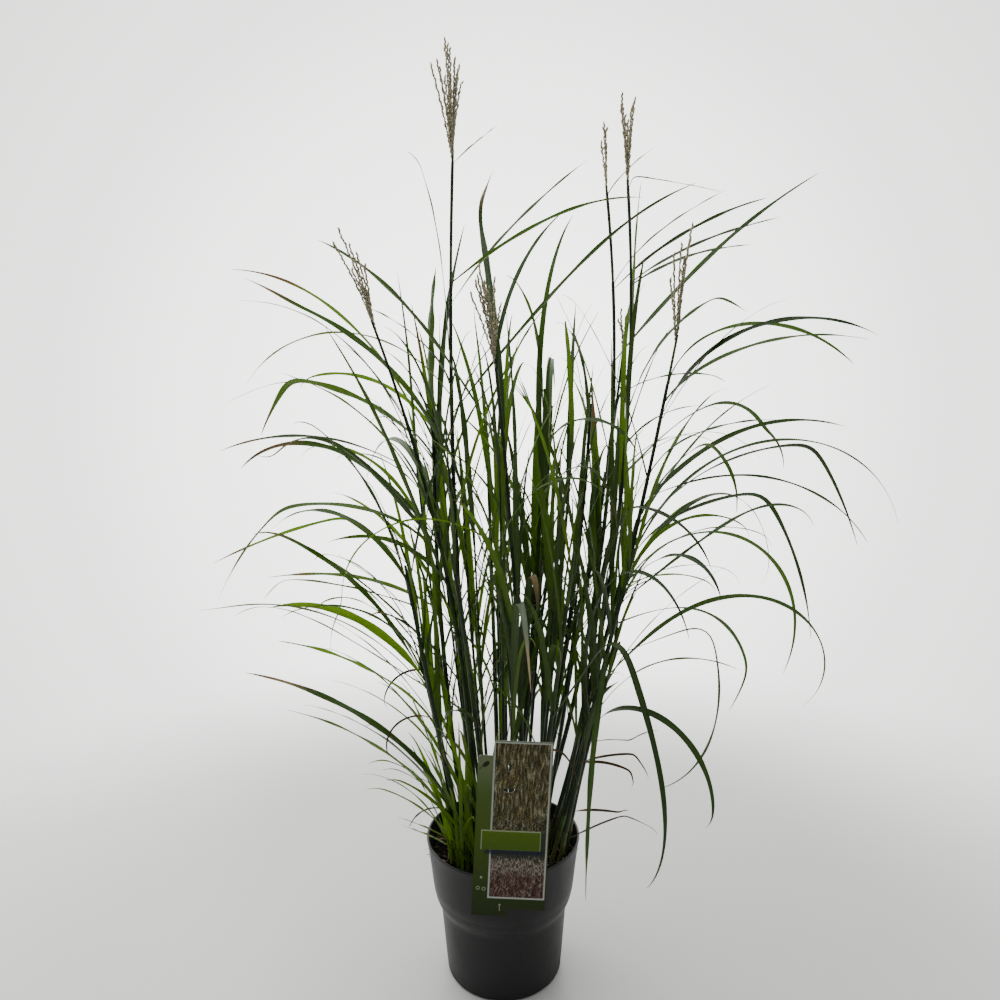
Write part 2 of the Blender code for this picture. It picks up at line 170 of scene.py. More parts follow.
def bladeGroup():
    group = newGroup("bladeColour", (("Colour", colourKind), ("Glow", colourKind), ("Roughness", valueKind),
                                     ("Height", valueKind), ("Lit", valueKind)))
    place, across, along = uvParts(group, "blade")
    tint = readValue(group, "tint")
    dry = readValue(group, "dry")
    under = readValue(group, "under")
    spot = objectPlace(group)
    fleck = calc(group, "SUBTRACT", grain(group, spot, 9.0), 0.5)
    fresh = limited(group, calc(group, "MULTIPLY_ADD", fleck, 0.5, tint))
    green = ramp(group, fresh, ((0.0, grassLook["shadeGreen"]), (0.5, grassLook["midGreen"]),
                                (1.0, grassLook["freshGreen"])))
    veins = calc(group, "SINE", calc(group, "MULTIPLY", across, 75.0))
    stripes = calc(group, "MULTIPLY_ADD", veins, 0.07, grain(group, place, 3.0, 2.0, 0.5, (14.0, 1.2, 1.0)))
    green = mixColour(group, limited(group, calc(group, "MULTIPLY", stripes, 0.55)), green,
                      mixColour(group, 1.0, green, (1.45, 1.40, 1.25), "MULTIPLY"))
    green = mixColour(group, calc(group, "MULTIPLY", under, 0.75), green,
                      mixColour(group, 0.55, green, grassLook["underside"]))
    middle = calc(group, "SUBTRACT", 1.0, smooth(group, calc(group, "ABSOLUTE",
                                                             calc(group, "SUBTRACT", across, 0.5)),
                                                 0.02, 0.085))
    fading = calc(group, "SUBTRACT", 0.85, calc(group, "MULTIPLY", along, 0.5))
    ribShare = calc(group, "MULTIPLY", middle, fading)
    green = mixColour(group, ribShare, green, mixColour(group, 0.5, green, grassLook["midrib"]))
    wander = calc(group, "MULTIPLY_ADD", calc(group, "SUBTRACT",
                                              grain(group, place, 6.0, 3.0, 0.6, (2.5, 5.0, 1.0)), 0.5),
                  0.22, along)
    start = calc(group, "SUBTRACT", 1.02, dry)
    straw = smooth(group, wander, start, calc(group, "ADD", start, 0.12))
    dead = smooth(group, wander, calc(group, "ADD", start, 0.10), calc(group, "ADD", start, 0.34))
    blotch = smooth(group, grain(group, spot, 60.0, 2.0), 0.70, 0.78)
    straw = limited(group, calc(group, "MULTIPLY_ADD", blotch, 0.35, straw))
    colour = mixColour(group, straw, green, grassLook["straw"])
    colour = mixColour(group, dead, colour, grassLook["deadTip"])
    glow = mixColour(group, calc(group, "MULTIPLY", fresh, 0.6), (0.17, 0.30, 0.05), grassLook["glow"])
    glow = mixColour(group, straw, glow, (0.50, 0.34, 0.16))
    roughness = calc(group, "MULTIPLY_ADD", straw, 0.22, 0.44)
    height = calc(group, "MULTIPLY_ADD", middle, 1.4, calc(group, "MULTIPLY", veins, 0.35))
    lit = calc(group, "MULTIPLY", calc(group, "MULTIPLY_ADD", fresh, 0.75, 0.40),
               calc(group, "MULTIPLY_ADD", straw, -0.4, 1.0))
    return endGroup(group, {"Colour": colour, "Glow": glow, "Roughness": roughness, "Height": height,
                            "Lit": lit})


def bladeMaterial():
    material, tree, shader = newMaterial("grassBlade")
    look = useGroup(tree, bladeGroup())
    put(tree, shader.inputs["Base Color"], look.outputs["Colour"])
    put(tree, shader.inputs["Roughness"], look.outputs["Roughness"])
    shader.inputs["Specular IOR Level"].default_value = 0.26
    addBump(tree, shader, look.outputs["Height"], 0.5, 0.0003)
    through = addNode(tree, "ShaderNodeBsdfTranslucent", {"Color": look.outputs["Glow"]})
    share = calc(tree, "MULTIPLY", look.outputs["Lit"], grassLook["glowShare"])
    both = addNode(tree, "ShaderNodeMixShader", {0: share, 1: shader.outputs[0], 2: through.outputs[0]})
    tree.links.new(both.outputs[0], tree.nodes["Material Output"].inputs["Surface"])
    return material


def culmGroup():
    group = newGroup("culmColour", (("Colour", colourKind), ("Roughness", valueKind),
                                    ("Height", valueKind)))
    place = uvParts(group, "blade")[0]
    tint = readValue(group, "tint")
    ring = readValue(group, "ring")
    spot = objectPlace(group)
    tall = addNode(group, "ShaderNodeSeparateXYZ", {0: spot}).outputs[2]
    patch = grain(group, spot, 26.0, 4.0)
    fresh = limited(group, calc(group, "MULTIPLY_ADD", calc(group, "SUBTRACT", patch, 0.5), 0.7, tint))
    # The darkest stem colour is painted shade, for stems seen against the light
    green = ramp(group, fresh, ((0.0, grassLook["stemBacklitShade"]), (0.45, grassLook["shadeGreen"]),
                                (0.8, grassLook["midGreen"]), (1.0, grassLook["freshGreen"])))
    lines = grain(group, place, 7.0, 2.0, 0.5, (9.0, 0.6, 1.0))
    green = mixColour(group, calc(group, "MULTIPLY", lines, 0.5), green,
                      mixColour(group, 1.0, green, (1.8, 1.7, 1.5), "MULTIPLY"))
    ragged = calc(group, "MULTIPLY_ADD", patch, -0.08, tall)
    low = calc(group, "SUBTRACT", 1.0, smooth(group, ragged, 0.125, 0.190))
    papery = smooth(group, grain(group, spot, 70.0, 3.0, 0.6, (1.0, 1.0, 0.25)), 0.42, 0.60)
    husk = mixColour(group, papery, grassLook["sheathBrown"], grassLook["straw"])
    colour = mixColour(group, calc(group, "MULTIPLY", low, 0.35), green, husk)
    colour = mixColour(group, calc(group, "MULTIPLY", ring, 0.7), colour, (0.10, 0.055, 0.03))
    roughness = calc(group, "MULTIPLY_ADD", low, 0.25, 0.42)
    return endGroup(group, {"Colour": colour, "Roughness": roughness, "Height": lines})


def culmMaterial():
    material, tree, shader = newMaterial("grassCulm")
    look = useGroup(tree, culmGroup())
    put(tree, shader.inputs["Base Color"], look.outputs["Colour"])
    put(tree, shader.inputs["Roughness"], look.outputs["Roughness"])
    shader.inputs["Specular IOR Level"].default_value = 0.22
    addBump(tree, shader, look.outputs["Height"], 0.4, 0.0004)
    return material


# Mesh helpers

def newPiece(name, points, faces, material, smoothAngle=60):
    mesh = bpy.data.meshes.new(name)
    mesh.from_pydata(points, [], faces)
    mesh.update()
    mesh.shade_smooth()
    mesh.set_sharp_from_angle(angle=math.radians(smoothAngle))
    mesh.materials.append(material)
    piece = bpy.data.objects.new(name, mesh)
    bpy.context.scene.collection.objects.link(piece)
    return piece


def finishPiece(piece, slotName, *nodes):
    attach(piece, "root")
    if nodes:
        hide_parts(*nodes)
    return piece


class Foliage:  # collects strips and tubes, with their attributes, for one piece
    def __init__(self):
        self.points, self.faces, self.uvs = [], [], []
        self.values = {"tint": [], "dry": [], "ring": []}
        self.under = []

    def addRing(self, corners, **values):
        first = len(self.points)
        self.points += corners
        for name, stored in self.values.items():
            stored += [values.get(name, 0.0)] * len(corners)
        return first

    def addFace(self, corners, uvs, under=0.0):
        self.faces.append(corners)
        self.uvs += uvs
        self.under.append(under)

    def build(self, name, material, smoothAngle=70):
        piece = newPiece(name, self.points, self.faces, material, smoothAngle)
        mesh = piece.data
        layer = mesh.uv_layers.new(name="blade")
        layer.data.foreach_set("uv", [part for uv in self.uvs for part in uv])
        for label, stored in self.values.items():
            mesh.attributes.new(label, "FLOAT", "POINT").data.foreach_set("value", stored)
        mesh.attributes.new("under", "FLOAT", "FACE").data.foreach_set("value", self.under)
        return piece


# Culms: base (x, y) on the soil, a point half way up, and the top

soilTop = 0.168
flowering = {
    "flowering_culm_1": ((-0.030, -0.010), (-0.059, -0.018, 0.62), (-0.055, -0.020, 1.118)),
    "flowering_culm_2": ((0.045, 0.020), (0.138, 0.030, 0.56), (0.147, 0.030, 1.089)),
    "flowering_culm_3": ((0.058, -0.012), (0.148, -0.030, 0.58), (0.165, -0.030, 1.078)),
    "flowering_culm_4": ((0.066, -0.034), (0.160, -0.050, 0.56), (0.226, -0.050, 0.883)),
    "flowering_culm_5": ((0.026, -0.034), (0.020, -0.065, 0.53), (-0.004, -0.080, 0.853)),
    "flowering_culm_6": ((-0.040, -0.030), (-0.075, -0.045, 0.60), (-0.159, -0.050, 0.905)),
    "flowering_culm_7": ((0.040, 0.045), (0.125, 0.050, 0.54), (0.175, 0.050, 0.876)),
}
leafy = {
    "leafy_culm_01": ((-0.050, 0.004), (-0.083, 0.004, 0.50), (-0.088, 0.002, 0.80)),
    "leafy_culm_02": ((-0.046, -0.044), (-0.088, -0.066, 0.40), (-0.118, -0.094, 0.60)),
    "leafy_culm_03": ((-0.040, 0.036), (-0.068, 0.055, 0.50), (-0.088, 0.085, 0.78)),
    "leafy_culm_04": ((-0.018, -0.050), (-0.036, -0.085, 0.42), (-0.058, -0.125, 0.62)),
    "leafy_culm_05": ((0.008, -0.058), (0.014, -0.095, 0.40), (0.022, -0.135, 0.58)),
    "leafy_culm_06": ((0.036, -0.056), (0.066, -0.090, 0.42), (0.088, -0.125, 0.62)),
    "leafy_culm_07": ((0.020, 0.058), (0.056, 0.090, 0.50), (0.080, 0.120, 0.80)),
    "leafy_culm_08": ((0.034, -0.004), (0.096, 0.008, 0.50), (0.125, 0.012, 0.80)),
    "leafy_culm_09": ((0.074, -0.052), (0.122, -0.074, 0.42), (0.166, -0.100, 0.62)),
    "leafy_culm_10": ((0.078, 0.008), (0.134, 0.012, 0.42), (0.190, 0.016, 0.64)),
    "leafy_culm_11": ((0.062, 0.044), (0.112, 0.078, 0.45), (0.160, 0.115, 0.70)),
    "leafy_culm_12": ((0.088, -0.016), (0.118, -0.022, 0.33), (0.160, -0.028, 0.48)),
    "leafy_culm_13": ((-0.062, -0.018), (-0.082, -0.026, 0.32), (-0.108, -0.036, 0.46)),
}
innerCulms = {
    "inner_a": ((-0.006, 0.046), (-0.012, 0.085, 0.50), (-0.020, 0.125, 0.80)),
    "inner_b": ((0.012, 0.008), (0.045, 0.004, 0.50), (0.062, 0.000, 0.82)),
}
culmLook = {
    "floweringRadii": (0.0032, 0.0017), "leafyRadii": (0.0033, 0.0018), "shootRadii": (0.0021, 0.0010),
    "sides": 10, "ringStep": 0.012, "jointStep": 0.105, "shoots": 20, "shootTop": (0.50, 0.78), "seed": 11,
}


def addShoots():  # thinner inner stems that fill the crown
    chance = random.Random(culmLook["seed"])
    shoots = {}
    for index in range(culmLook["shoots"]):
        angle = 2.4 * index + chance.uniform(-0.3, 0.3)
        reach = math.sqrt((index + 0.6) / culmLook["shoots"])
        x = 0.014 + 0.066 * reach * math.cos(angle)
        y = 0.002 + 0.046 * reach * math.sin(angle)
        top = chance.uniform(*culmLook["shootTop"])
        lean = 0.35 + 0.30 * chance.random()
        out = Vector((x - 0.005, y, 0.0)) * lean / 0.06
        middle = (x + 0.10 * out.x, y + 0.10 * out.y, soilTop + (top - soilTop) * 0.5)
        shoots[f"shoot_{index:02d}"] = ((x, y), middle, (x + 0.17 * out.x, y + 0.19 * out.y, top))
    return shoots


shoots = addShoots()
allCulms = {name: (shape, culmLook["floweringRadii"]) for name, shape in flowering.items()}
allCulms.update({name: (shape, culmLook["leafyRadii"]) for name, shape in {**leafy, **innerCulms}.items()})
allCulms.update({name: (shape, culmLook["shootRadii"]) for name, shape in shoots.items()})


def culmPoint(shape, height):
    base, middle, top = shape
    low, mid, high = Vector((base[0], base[1], soilTop)), Vector(middle), Vector(top)
    part = (height - low.z) / (high.z - low.z)
    bend = (mid.z - low.z) / (high.z - low.z)
    lowShare = (part - bend) * (part - 1) / bend
    midShare = part * (part - 1) / (bend * (bend - 1))
    highShare = part * (part - bend) / (1 - bend)
    return low * lowShare + mid * midShare + high * highShare


def radiusAt(name, height):
    shape, radii = allCulms[name]
    part = (height - soilTop) / (shape[2][2] - soilTop)
    return radii[0] + (radii[1] - radii[0]) * min(1.0, max(0.0, part))


def addTube(foliage, centres, radii, sides, tint=0.5, dry=0.0, rings=None):
    last = len(centres) - 1
    starts = []
    for index, (centre, radius) in enumerate(zip(centres, radii)):
        along = (centres[min(index + 1, last)] - centres[max(index - 1, 0)]).normalized()
        across = Vector((0.0, 1.0, 0.0)).cross(along).normalized()
        other = along.cross(across)
        ring = []
        for side in range(sides):
            angle = 2 * math.pi * side / sides
            ring.append(centre + radius * (math.cos(angle) * across + math.sin(angle) * other))
        starts.append(foliage.addRing(ring, tint=tint, dry=dry, ring=rings[index] if rings else 0.0))
    for index in range(last):
        for side in range(sides):
            after = (side + 1) % sides
            low, high = starts[index], starts[index + 1]
            u0, u1 = side / sides, (side + 1) / sides
            v0, v1 = index / last, (index + 1) / last
            foliage.addFace((low + side, low + after, high + after, high + side),
                            [(u0, v0), (u1, v0), (u1, v1), (u0, v1)])
    foliage.addFace(tuple(starts[0] + side for side in reversed(range(sides))), [(0.5, 0.0)] * sides)
    foliage.addFace(tuple(starts[-1] + side for side in range(sides)), [(0.5, 1.0)] * sides)


def addCulm(foliage, name, chance):
    shape = allCulms[name][0]
    top = shape[2][2]
    joint = soilTop + 0.030 + chance.uniform(0.0, 0.04)
    joints = []
    while joint < top - 0.02:
        joints.append(joint)
        joint += culmLook["jointStep"] * chance.uniform(0.85, 1.2)
    heights = {soilTop - 0.006, top}
    steps = int((top - soilTop) / culmLook["ringStep"])
    heights.update(soilTop + (top - soilTop) * step / steps for step in range(steps))
    for joint in joints:
        heights.update(joint + shift for shift in (-0.004, -0.002, 0.0, 0.002, 0.004))
    heights = sorted(heights)
    centres, widths, rings = [], [], []
    for height in heights:
        centres.append(culmPoint(shape, height))
        bulge = sum(math.exp(-((height - joint) / 0.0022) ** 2) for joint in joints)
        widths.append(radiusAt(name, height) * (1.0 + 0.22 * bulge))
        rings.append(min(1.0, bulge))
    addTube(foliage, centres, widths, culmLook["sides"], tint=chance.uniform(0.15, 0.75), rings=rings)


def addSheath(foliage, name, height, chance, tint):  # the leaf's own sleeve round its culm
    shape, _ = allCulms[name]
    length = min(chance.uniform(0.07, 0.12), height - soilTop - 0.004)
    if length < 0.02:
        return
    centres, widths = [], []
    for step in range(7):
        part = step / 6
        level = height - length * (1 - part)
        centres.append(culmPoint(shape, level))
        widths.append(radiusAt(name, level) * (1.06 + 0.20 * part))
    widths[-1] *= 0.93
    addTube(foliage, centres, widths, 8, tint=tint * 0.8)


# Leaves: culm, height, compass (0 is +X, 90 is +Y), length, first and last slope, how late it bends, width,
# twist and, if it is creased, how far along and by how much

heroLeaves = (
    ("leafy_culm_01", 0.741, 172, 0.390, 65, 3, 1.6, 6, 55),
    ("flowering_culm_1", 0.688, 195, 0.382, 84, 11, 0.83, 9, -60, 0.82, 11),
    ("flowering_culm_5", 0.746, 160, 0.380, 57, 23, 2.2, 10, 50),
    ("leafy_culm_01", 0.727, 205, 0.290, 59, -3, 0.7, 11, -50, 0.73, -65),
    ("leafy_culm_03", 0.673, 150, 0.500, 34, -17, 0.84, 7, 45),
    ("leafy_culm_01", 0.621, 188, 0.310, 52, -53, 2.2, 9, 60),
    ("leafy_culm_01", 0.590, 180, 0.390, 76, -37, 0.51, 7, -40, 0.59, -29),
    ("leafy_culm_01", 0.533, 163, 0.420, 57, 14, 0.5, 6, 50, 0.41, -40),
    ("leafy_culm_13", 0.431, 190, 0.240, 57, -11, 1.4, 10, -60),
    ("leafy_culm_13", 0.363, 180, 0.250, 70, 10, 0.5, 11, 50),
    ("flowering_culm_5", 0.607, 200, 0.340, 38, -152, 1.65, 9, 30, 0.83, 53),
    ("flowering_culm_2", 0.860, 5, 0.380, 50, 30, 1.4, 9, 55),
    ("flowering_culm_1", 0.790, 7, 0.450, 50, 20, 2.8, 9, -50),
    ("flowering_culm_3", 0.796, -25, 0.210, 72, 12, 1.16, 12, 40, 0.81, -51),
    ("flowering_culm_4", 0.822, 8, 0.298, 84, -42, 0.6, 8, -45),
    ("flowering_culm_4", 0.787, -10, 0.300, 66, -31, 1.04, 10, 55),
    ("flowering_culm_3", 0.707, 30, 0.380, 37, -134, 2.5, 10, -35, 0.79, 39),
    ("flowering_culm_4", 0.664, 10, 0.320, 51, -16, 1.1, 8, 60),
    ("leafy_culm_10", 0.551, -4, 0.520, 69, -80, 1.5, 7, 40),
    ("flowering_culm_4", 0.605, 20, 0.510, 74, -22, 0.54, 8, -55, 0.65, -47),
    ("flowering_culm_4", 0.590, -26, 0.376, 78, -19, 0.5, 9, 45, 0.51, -66),
    ("leafy_culm_10", 0.520, 14, 0.490, 67, -120, 1.0, 9, -45),
    ("leafy_culm_12", 0.437, -6, 0.430, 48, -145, 1.9, 8, 50),
    ("leafy_culm_12", 0.462, -25, 0.380, 27, -57, 2.5, 8, -40, 0.32, -99),
    ("leafy_culm_12", 0.362, -38, 0.270, 63, -105, 0.8, 10, 45, 0.94, -24),
    ("leafy_culm_06", 0.400, -50, 0.460, 54, -12, 4.2, 10, 30, 0.34, -118),
    ("leafy_culm_09", 0.482, -110, 0.290, -45, -88, 1.0, 7, 40),
    ("leafy_culm_05", 0.420, -88, 0.400, 74, -45, 1.3, 11, 35),
    ("leafy_culm_07", 0.660, 84, 0.520, 68, -45, 1.5, 10, 40),
    ("leafy_culm_03", 0.560, 118, 0.500, 66, -60, 1.4, 9, -40),
)
sideLeaves = (
    ("leafy_culm_01", 0.613, 215, 0.30, 49, -114, 4.4, 7, 40, 0.94, 130),
    ("leafy_culm_01", 0.510, 200, 0.25, 27, 3, 1.3, 7, 30, 0.86, -52),
    ("leafy_culm_01", 0.516, 178, 0.25, 44, -9, 0.6, 7, -30),
    ("flowering_culm_1", 0.377, 155, 0.44, 23, -37, 4.4, 6, 30),
    ("leafy_culm_02", 0.200, 170, 0.32, 96, 8, 0.93, 8, 30),
    ("flowering_culm_6", 0.561, 210, 0.36, 69, 55, 2.6, 9, 40),
    ("flowering_culm_1", 0.827, 150, 0.18, 73, 21, 0.5, 7, 30),
    ("leafy_culm_01", 0.773, 200, 0.21, 88, 101, 1.6, 13, 25),
    ("leafy_culm_01", 0.662, 20, 0.38, 88, 74, 1.8, 12, 40),
    ("flowering_culm_5", 0.767, 100, 0.46, 83, 43, 0.5, 9, 30, 0.75, 130),
    ("flowering_culm_1", 1.105, 20, 0.08, 44, 38, 1.2, 6, 20),
    ("flowering_culm_3", 1.070, -10, 0.12, 76, 70, 1.5, 5, 20, 0.08, -87),
    ("flowering_culm_2", 1.080, 15, 0.09, 61, 36, 0.5, 5, 20),
    ("flowering_culm_3", 0.952, 25, 0.27, 39, 15, 0.5, 7, 40),
    ("flowering_culm_2", 0.963, -20, 0.18, 66, 21, 0.5, 7, 40),
    ("flowering_culm_2", 0.956, -5, 0.23, 43, 12, 1.2, 8, -40),
    ("flowering_culm_3", 0.948, 40, 0.29, 34, 10, 0.5, 7, 40),
    ("flowering_culm_1", 0.932, 10, 0.26, 54, 36, 1.1, 8, 40),
    ("flowering_culm_1", 0.956, -15, 0.26, 33, -8, 1.9, 7, -30),
    ("flowering_culm_4", 0.800, 22, 0.366, 52, -6, 0.53, 8, 40),
    ("flowering_culm_7", 0.807, -35, 0.16, 52, -14, 0.5, 8, 30, 0.89, -20),
    ("flowering_culm_4", 0.709, -30, 0.17, 73, -1, 0.5, 8, 30),
    ("flowering_culm_4", 0.677, -20, 0.29, 24, -62, 1.45, 7, -40),
    ("flowering_culm_4", 0.655, -50, 0.23, 57, -44, 1.9, 8, 30, 0.59, -56),
    ("flowering_culm_4", 0.577, 42, 0.50, 37, -93, 1.6, 7, 40, 0.94, -48),
    ("leafy_culm_09", 0.552, -28, 0.27, 41, -85, 6.0, 8, 40),
    ("leafy_culm_09", 0.579, -60, 0.18, 36, -77, 2.2, 9, 30),
    ("leafy_culm_09", 0.520, 35, 0.39, 8, -98, 1.5, 7, -40, 0.82, -48),
    ("leafy_culm_09", 0.549, -45, 0.26, 98, -8, 1.6, 8, 30, 0.46, -63),
    ("leafy_culm_09", 0.371, -65, 0.40, 98, -74, 1.8, 9, 40),
    ("inner_b", 0.691, 60, 0.41, 98, 39, 1.5, 8, 40),
    ("flowering_culm_5", 0.841, 50, 0.27, 98, 34, 0.53, 6, 30),
    ("inner_b", 0.251, -40, 0.63, 98, -24, 2.5, 13, 30, 0.83, -69),
    ("inner_b", 0.723, -30, 0.18, 89, -67, 0.83, 12, 30),
    ("leafy_culm_04", 0.441, -20, 0.41, 81, -134, 3.7, 10, 20),
    ("leafy_culm_04", 0.385, -150, 0.13, 98, -46, 0.5, 10, 30, 0.37, -71),
    ("flowering_culm_2", 0.560, 100, 0.28, 86, 78, 2.0, 12, 25),
    ("inner_b", 0.540, 70, 0.32, 88, 80, 2.0, 11, 20),
    ("leafy_culm_08", 0.520, -60, 0.30, 84, 78, 2.0, 13, 25),
    ("leafy_culm_06", 0.330, -20, 0.26, 84, 80, 1.0, 14, 20, 0.92, -150),
    ("flowering_culm_5", 0.400, -70, 0.24, 86, 70, 1.0, 12, 20, 0.80, -150),
    ("leafy_culm_03", 0.520, 250, 0.42, 80, 66, 1.6, 10, 30),
    ("leafy_culm_13", 0.215, 200, 0.30, 66, 22, 0.9, 9, 40),
    ("leafy_culm_13", 0.240, 175, 0.26, 58, 8, 1.2, 8, 30),
    ("leafy_culm_02", 0.260, 190, 0.34, 62, 14, 1.0, 9, -30),
    ("leafy_culm_13", 0.190, 205, 0.10, 42, 30, 1.0, 7, 20),
    ("leafy_culm_13", 0.180, 186, 0.085, 34, 24, 1.0, 6, 20),
)
leafLook = {
    "widen": 1.32, "rightWiden": 0.95, "frontWiden": 0.85, "stations": 54, "fillerStations": 34,
    "thickness": 0.0005, "fold": 0.24, "ripple": 0.0012, "tipCurl": 60, "dryTip": (0.05, 0.34),
    # The right-side shade factor is painted shade: it darkens the blades that lean to the right
    "rightPaintedShade": 0.65, "rightDry": 0.45, "seed": 23,
}


def leafSlope(part, row):
    rise, fall, late = row[4:7]
    creaseAt, crease = row[9:] if len(row) > 9 else (1.0, 0.0)
    slope = rise + (fall - rise) * part ** late
    slope += crease / (1 + math.exp(-(part - creaseAt) / 0.02))
    return math.radians(slope)


def addLeaf(foliage, row, chance, tint=None, dry=None, curl=None, bow=0.12, stations=leafLook["stations"]):
    culm, height, compass, length = row[:4]
    width, twist = row[7:9]
    heading = math.radians(compass)
    outward = Vector((math.cos(heading), math.sin(heading), 0.0))
    level = Vector((-math.sin(heading), math.cos(heading), 0.0))
    rightward = outward.x > 0.4
    if tint is None:
        # Blades leaning right get a darker tint: painted shade on that side of the clump
        tint = chance.uniform(0.15, 0.95) * (leafLook["rightPaintedShade"] if rightward else 1.0)
    if dry is None:
        dry = chance.uniform(*leafLook["dryTip"]) * (leafLook["rightDry"] if rightward else 1.0)
    widen = leafLook["rightWiden"] if rightward else leafLook["widen"]
    widen = leafLook["frontWiden"] if outward.y < -0.3 and length > 0.3 else widen
    curl = math.radians(chance.uniform(-0.3, 1.0) * leafLook["tipCurl"]) if curl is None else curl
    if isinstance(culm, tuple):
        point = Vector((*culm, height))
    else:
        point = culmPoint(allCulms[culm][0], height) + outward * (radiusAt(culm, height) + 0.0006)
    phase, bow = chance.uniform(0, 6.3), chance.uniform(-bow, bow)
    starts, substeps = [], 2
    for station in range(stations + 1):
        part = station / stations
        late = max(0.0, part - 0.86) / 0.14
        slope = leafSlope(part, row) - curl * late ** 1.5
        sway = bow * (math.sin(3.0 * part + phase) * part + 4.0 * late ** 2 * math.sin(phase * 3))
        along = outward * math.cos(slope) + up * math.sin(slope)
        along = (Matrix.Rotation(sway, 3, "Z") @ along).normalized()
        turn = Matrix.Rotation(math.radians(twist) * (0.45 * min(1.0, part / 0.2) + 0.55 * part), 3, along)
        side = (turn @ (Matrix.Rotation(sway, 3, "Z") @ level)).normalized()
        face = side.cross(along)
        half = widen * 0.0005 * width * (0.55 + 0.45 * min(1.0, part / 0.20)) * (1 - part ** 3.2) + 0.00025
        thick = leafLook["thickness"] * (1 - 0.65 * part)
        fold = leafLook["fold"] * half * (1 + 0.5 * math.sin(9 * part + phase))
        rise = leafLook["ripple"] * half / 0.005 * math.sin(26 * part + phase) * part
        ring = []
        for across, depth in ((-1, 0), (-0.5, 1), (0, 0.7), (0.5, 1), (1, 0), (0.5, -1), (0, -1.9),
                              (-0.5, -1)):
            lift = fold * abs(across) ** 1.3 + rise * across * abs(across) + depth * thick * 0.5
            ring.append(point + side * across * half - face * lift)
        starts.append(foliage.addRing(ring, tint=tint, dry=dry))
        for _ in range(substeps):
            point = point + along * (length / stations / substeps)
    spread = (0.0, 0.25, 0.5, 0.75, 1.0, 0.75, 0.5, 0.25, 0.0)
    for station in range(stations):
        low, high = starts[station], starts[station + 1]
        v0, v1 = station / stations, (station + 1) / stations
        for side in range(8):
            after = (side + 1) % 8
            u0, u1 = spread[side], spread[side + 1]
            foliage.addFace((low + side, high + side, high + after, low + after),
                            [(u0, v0), (u0, v1), (u1, v1), (u1, v0)], 1.0 if side > 3 else 0.0)
    foliage.addFace(tuple(starts[0] + side for side in range(8)), [(0.5, 0.0)] * 8)
    foliage.addFace(tuple(starts[-1] + side for side in reversed(range(8))), [(0.5, 1.0)] * 8)


# Set tones for some long blades: painted light and shade, fresh green for blades that catch the light and
# dark green for shaded ones
heroLitShadeTints = {2: 0.5, 5: 0.35, 7: 0.95, 8: 1.0, 9: 1.0, 10: 1.0, 11: 0.3, 16: 0.45, 24: 0.25, 25: 0.2,
             26: 0.30, 27: 0.2, 28: 0.35}
goldenTurn, goldenDegrees = 2.4, 137.5  # spreads things evenly round a middle
fillerLook = {
    "seed": 41, "perCulm": 6, "start": 0.15, "length": (0.20, 0.40), "rise": (70, 88), "bend": (12, 100),
    "late": (1.1, 2.6), "width": (2.6, 6.2), "twist": (-60, 60), "tint": (0.1, 0.9), "dry": (0.03, 0.16),
}
youngLook = {
    "seed": 8, "count": 32, "centre": (-0.046, -0.028), "spread": (0.030, 0.036), "compass": (140, 300),
    "length": (0.15, 0.31), "rise": (66, 87), "bend": (5, 60), "late": (1.0, 1.8), "width": (3.6, 5.8),
    "twist": (-40, 40), "tint": (0.8, 1.0), "dry": 0.06,
}
broadLook = {
    "seed": 19, "count": 11, "from": (0.46, 0.66), "length": (0.24, 0.34), "rise": (82, 89), "bend": (4, 26),
    "late": (1.4, 2.4), "width": (6.5, 10.0), "twist": (-30, 30), "tint": (0.15, 0.9), "dry": 0.07,
}
outerLook = {
    "seed": 29, "from": (0.30, 0.84), "length": (0.20, 0.34), "spread": (-42, 42), "rise": (52, 76),
    "bend": (35, 120), "late": (0.9, 2.0), "width": (4.6, 8.0), "twist": (-50, 50), "tint": (0.3, 1.0),
    "dry": (0.03, 0.2),
    "left": ("leafy_culm_01", "leafy_culm_02", "leafy_culm_03", "flowering_culm_6", "flowering_culm_1",
             "leafy_culm_13"),
    "right": ("leafy_culm_10", "leafy_culm_09", "flowering_culm_4", "leafy_culm_11", "flowering_culm_7"),
    "leftCount": 24, "rightCount": 14,
}


def pick(chance, look, name):
    return chance.uniform(*look[name])


def addFillers(foliage, sheaths):
    look, chance = fillerLook, random.Random(fillerLook["seed"])
    for index, (name, (shape, _)) in enumerate(allCulms.items()):
        top = shape[2][2] if name not in flowering else 0.82 * shape[2][2]
        count = look["perCulm"] + (1 if name in leafy else 0)
        for leaf in range(count):
            part = (leaf + chance.uniform(0.2, 0.9)) / count
            height = soilTop + look["start"] + (top - soilTop - look["start"] - 0.01) * part
            compass = goldenDegrees * index + 180 * (leaf % 2) + chance.uniform(-35, 35)
            toCamera = max(0.0, -math.sin(math.radians(compass)))
            sideways = abs(math.cos(math.radians(compass)))
            length = pick(chance, look, "length") * ((1 - 0.25 * toCamera) * (1.02 - 0.32 * sideways))
            rise = pick(chance, look, "rise")
            fall = rise - pick(chance, look, "bend") * (0.55 + 0.45 * (1 - sideways))
            row = (name, height, compass, length, rise, fall, pick(chance, look, "late"),
                   pick(chance, look, "width"), pick(chance, look, "twist"))
            tint = pick(chance, look, "tint")
            addLeaf(foliage, row, chance, tint, pick(chance, look, "dry"),
                    stations=leafLook["fillerStations"])
            addSheath(sheaths, name, height, chance, tint)


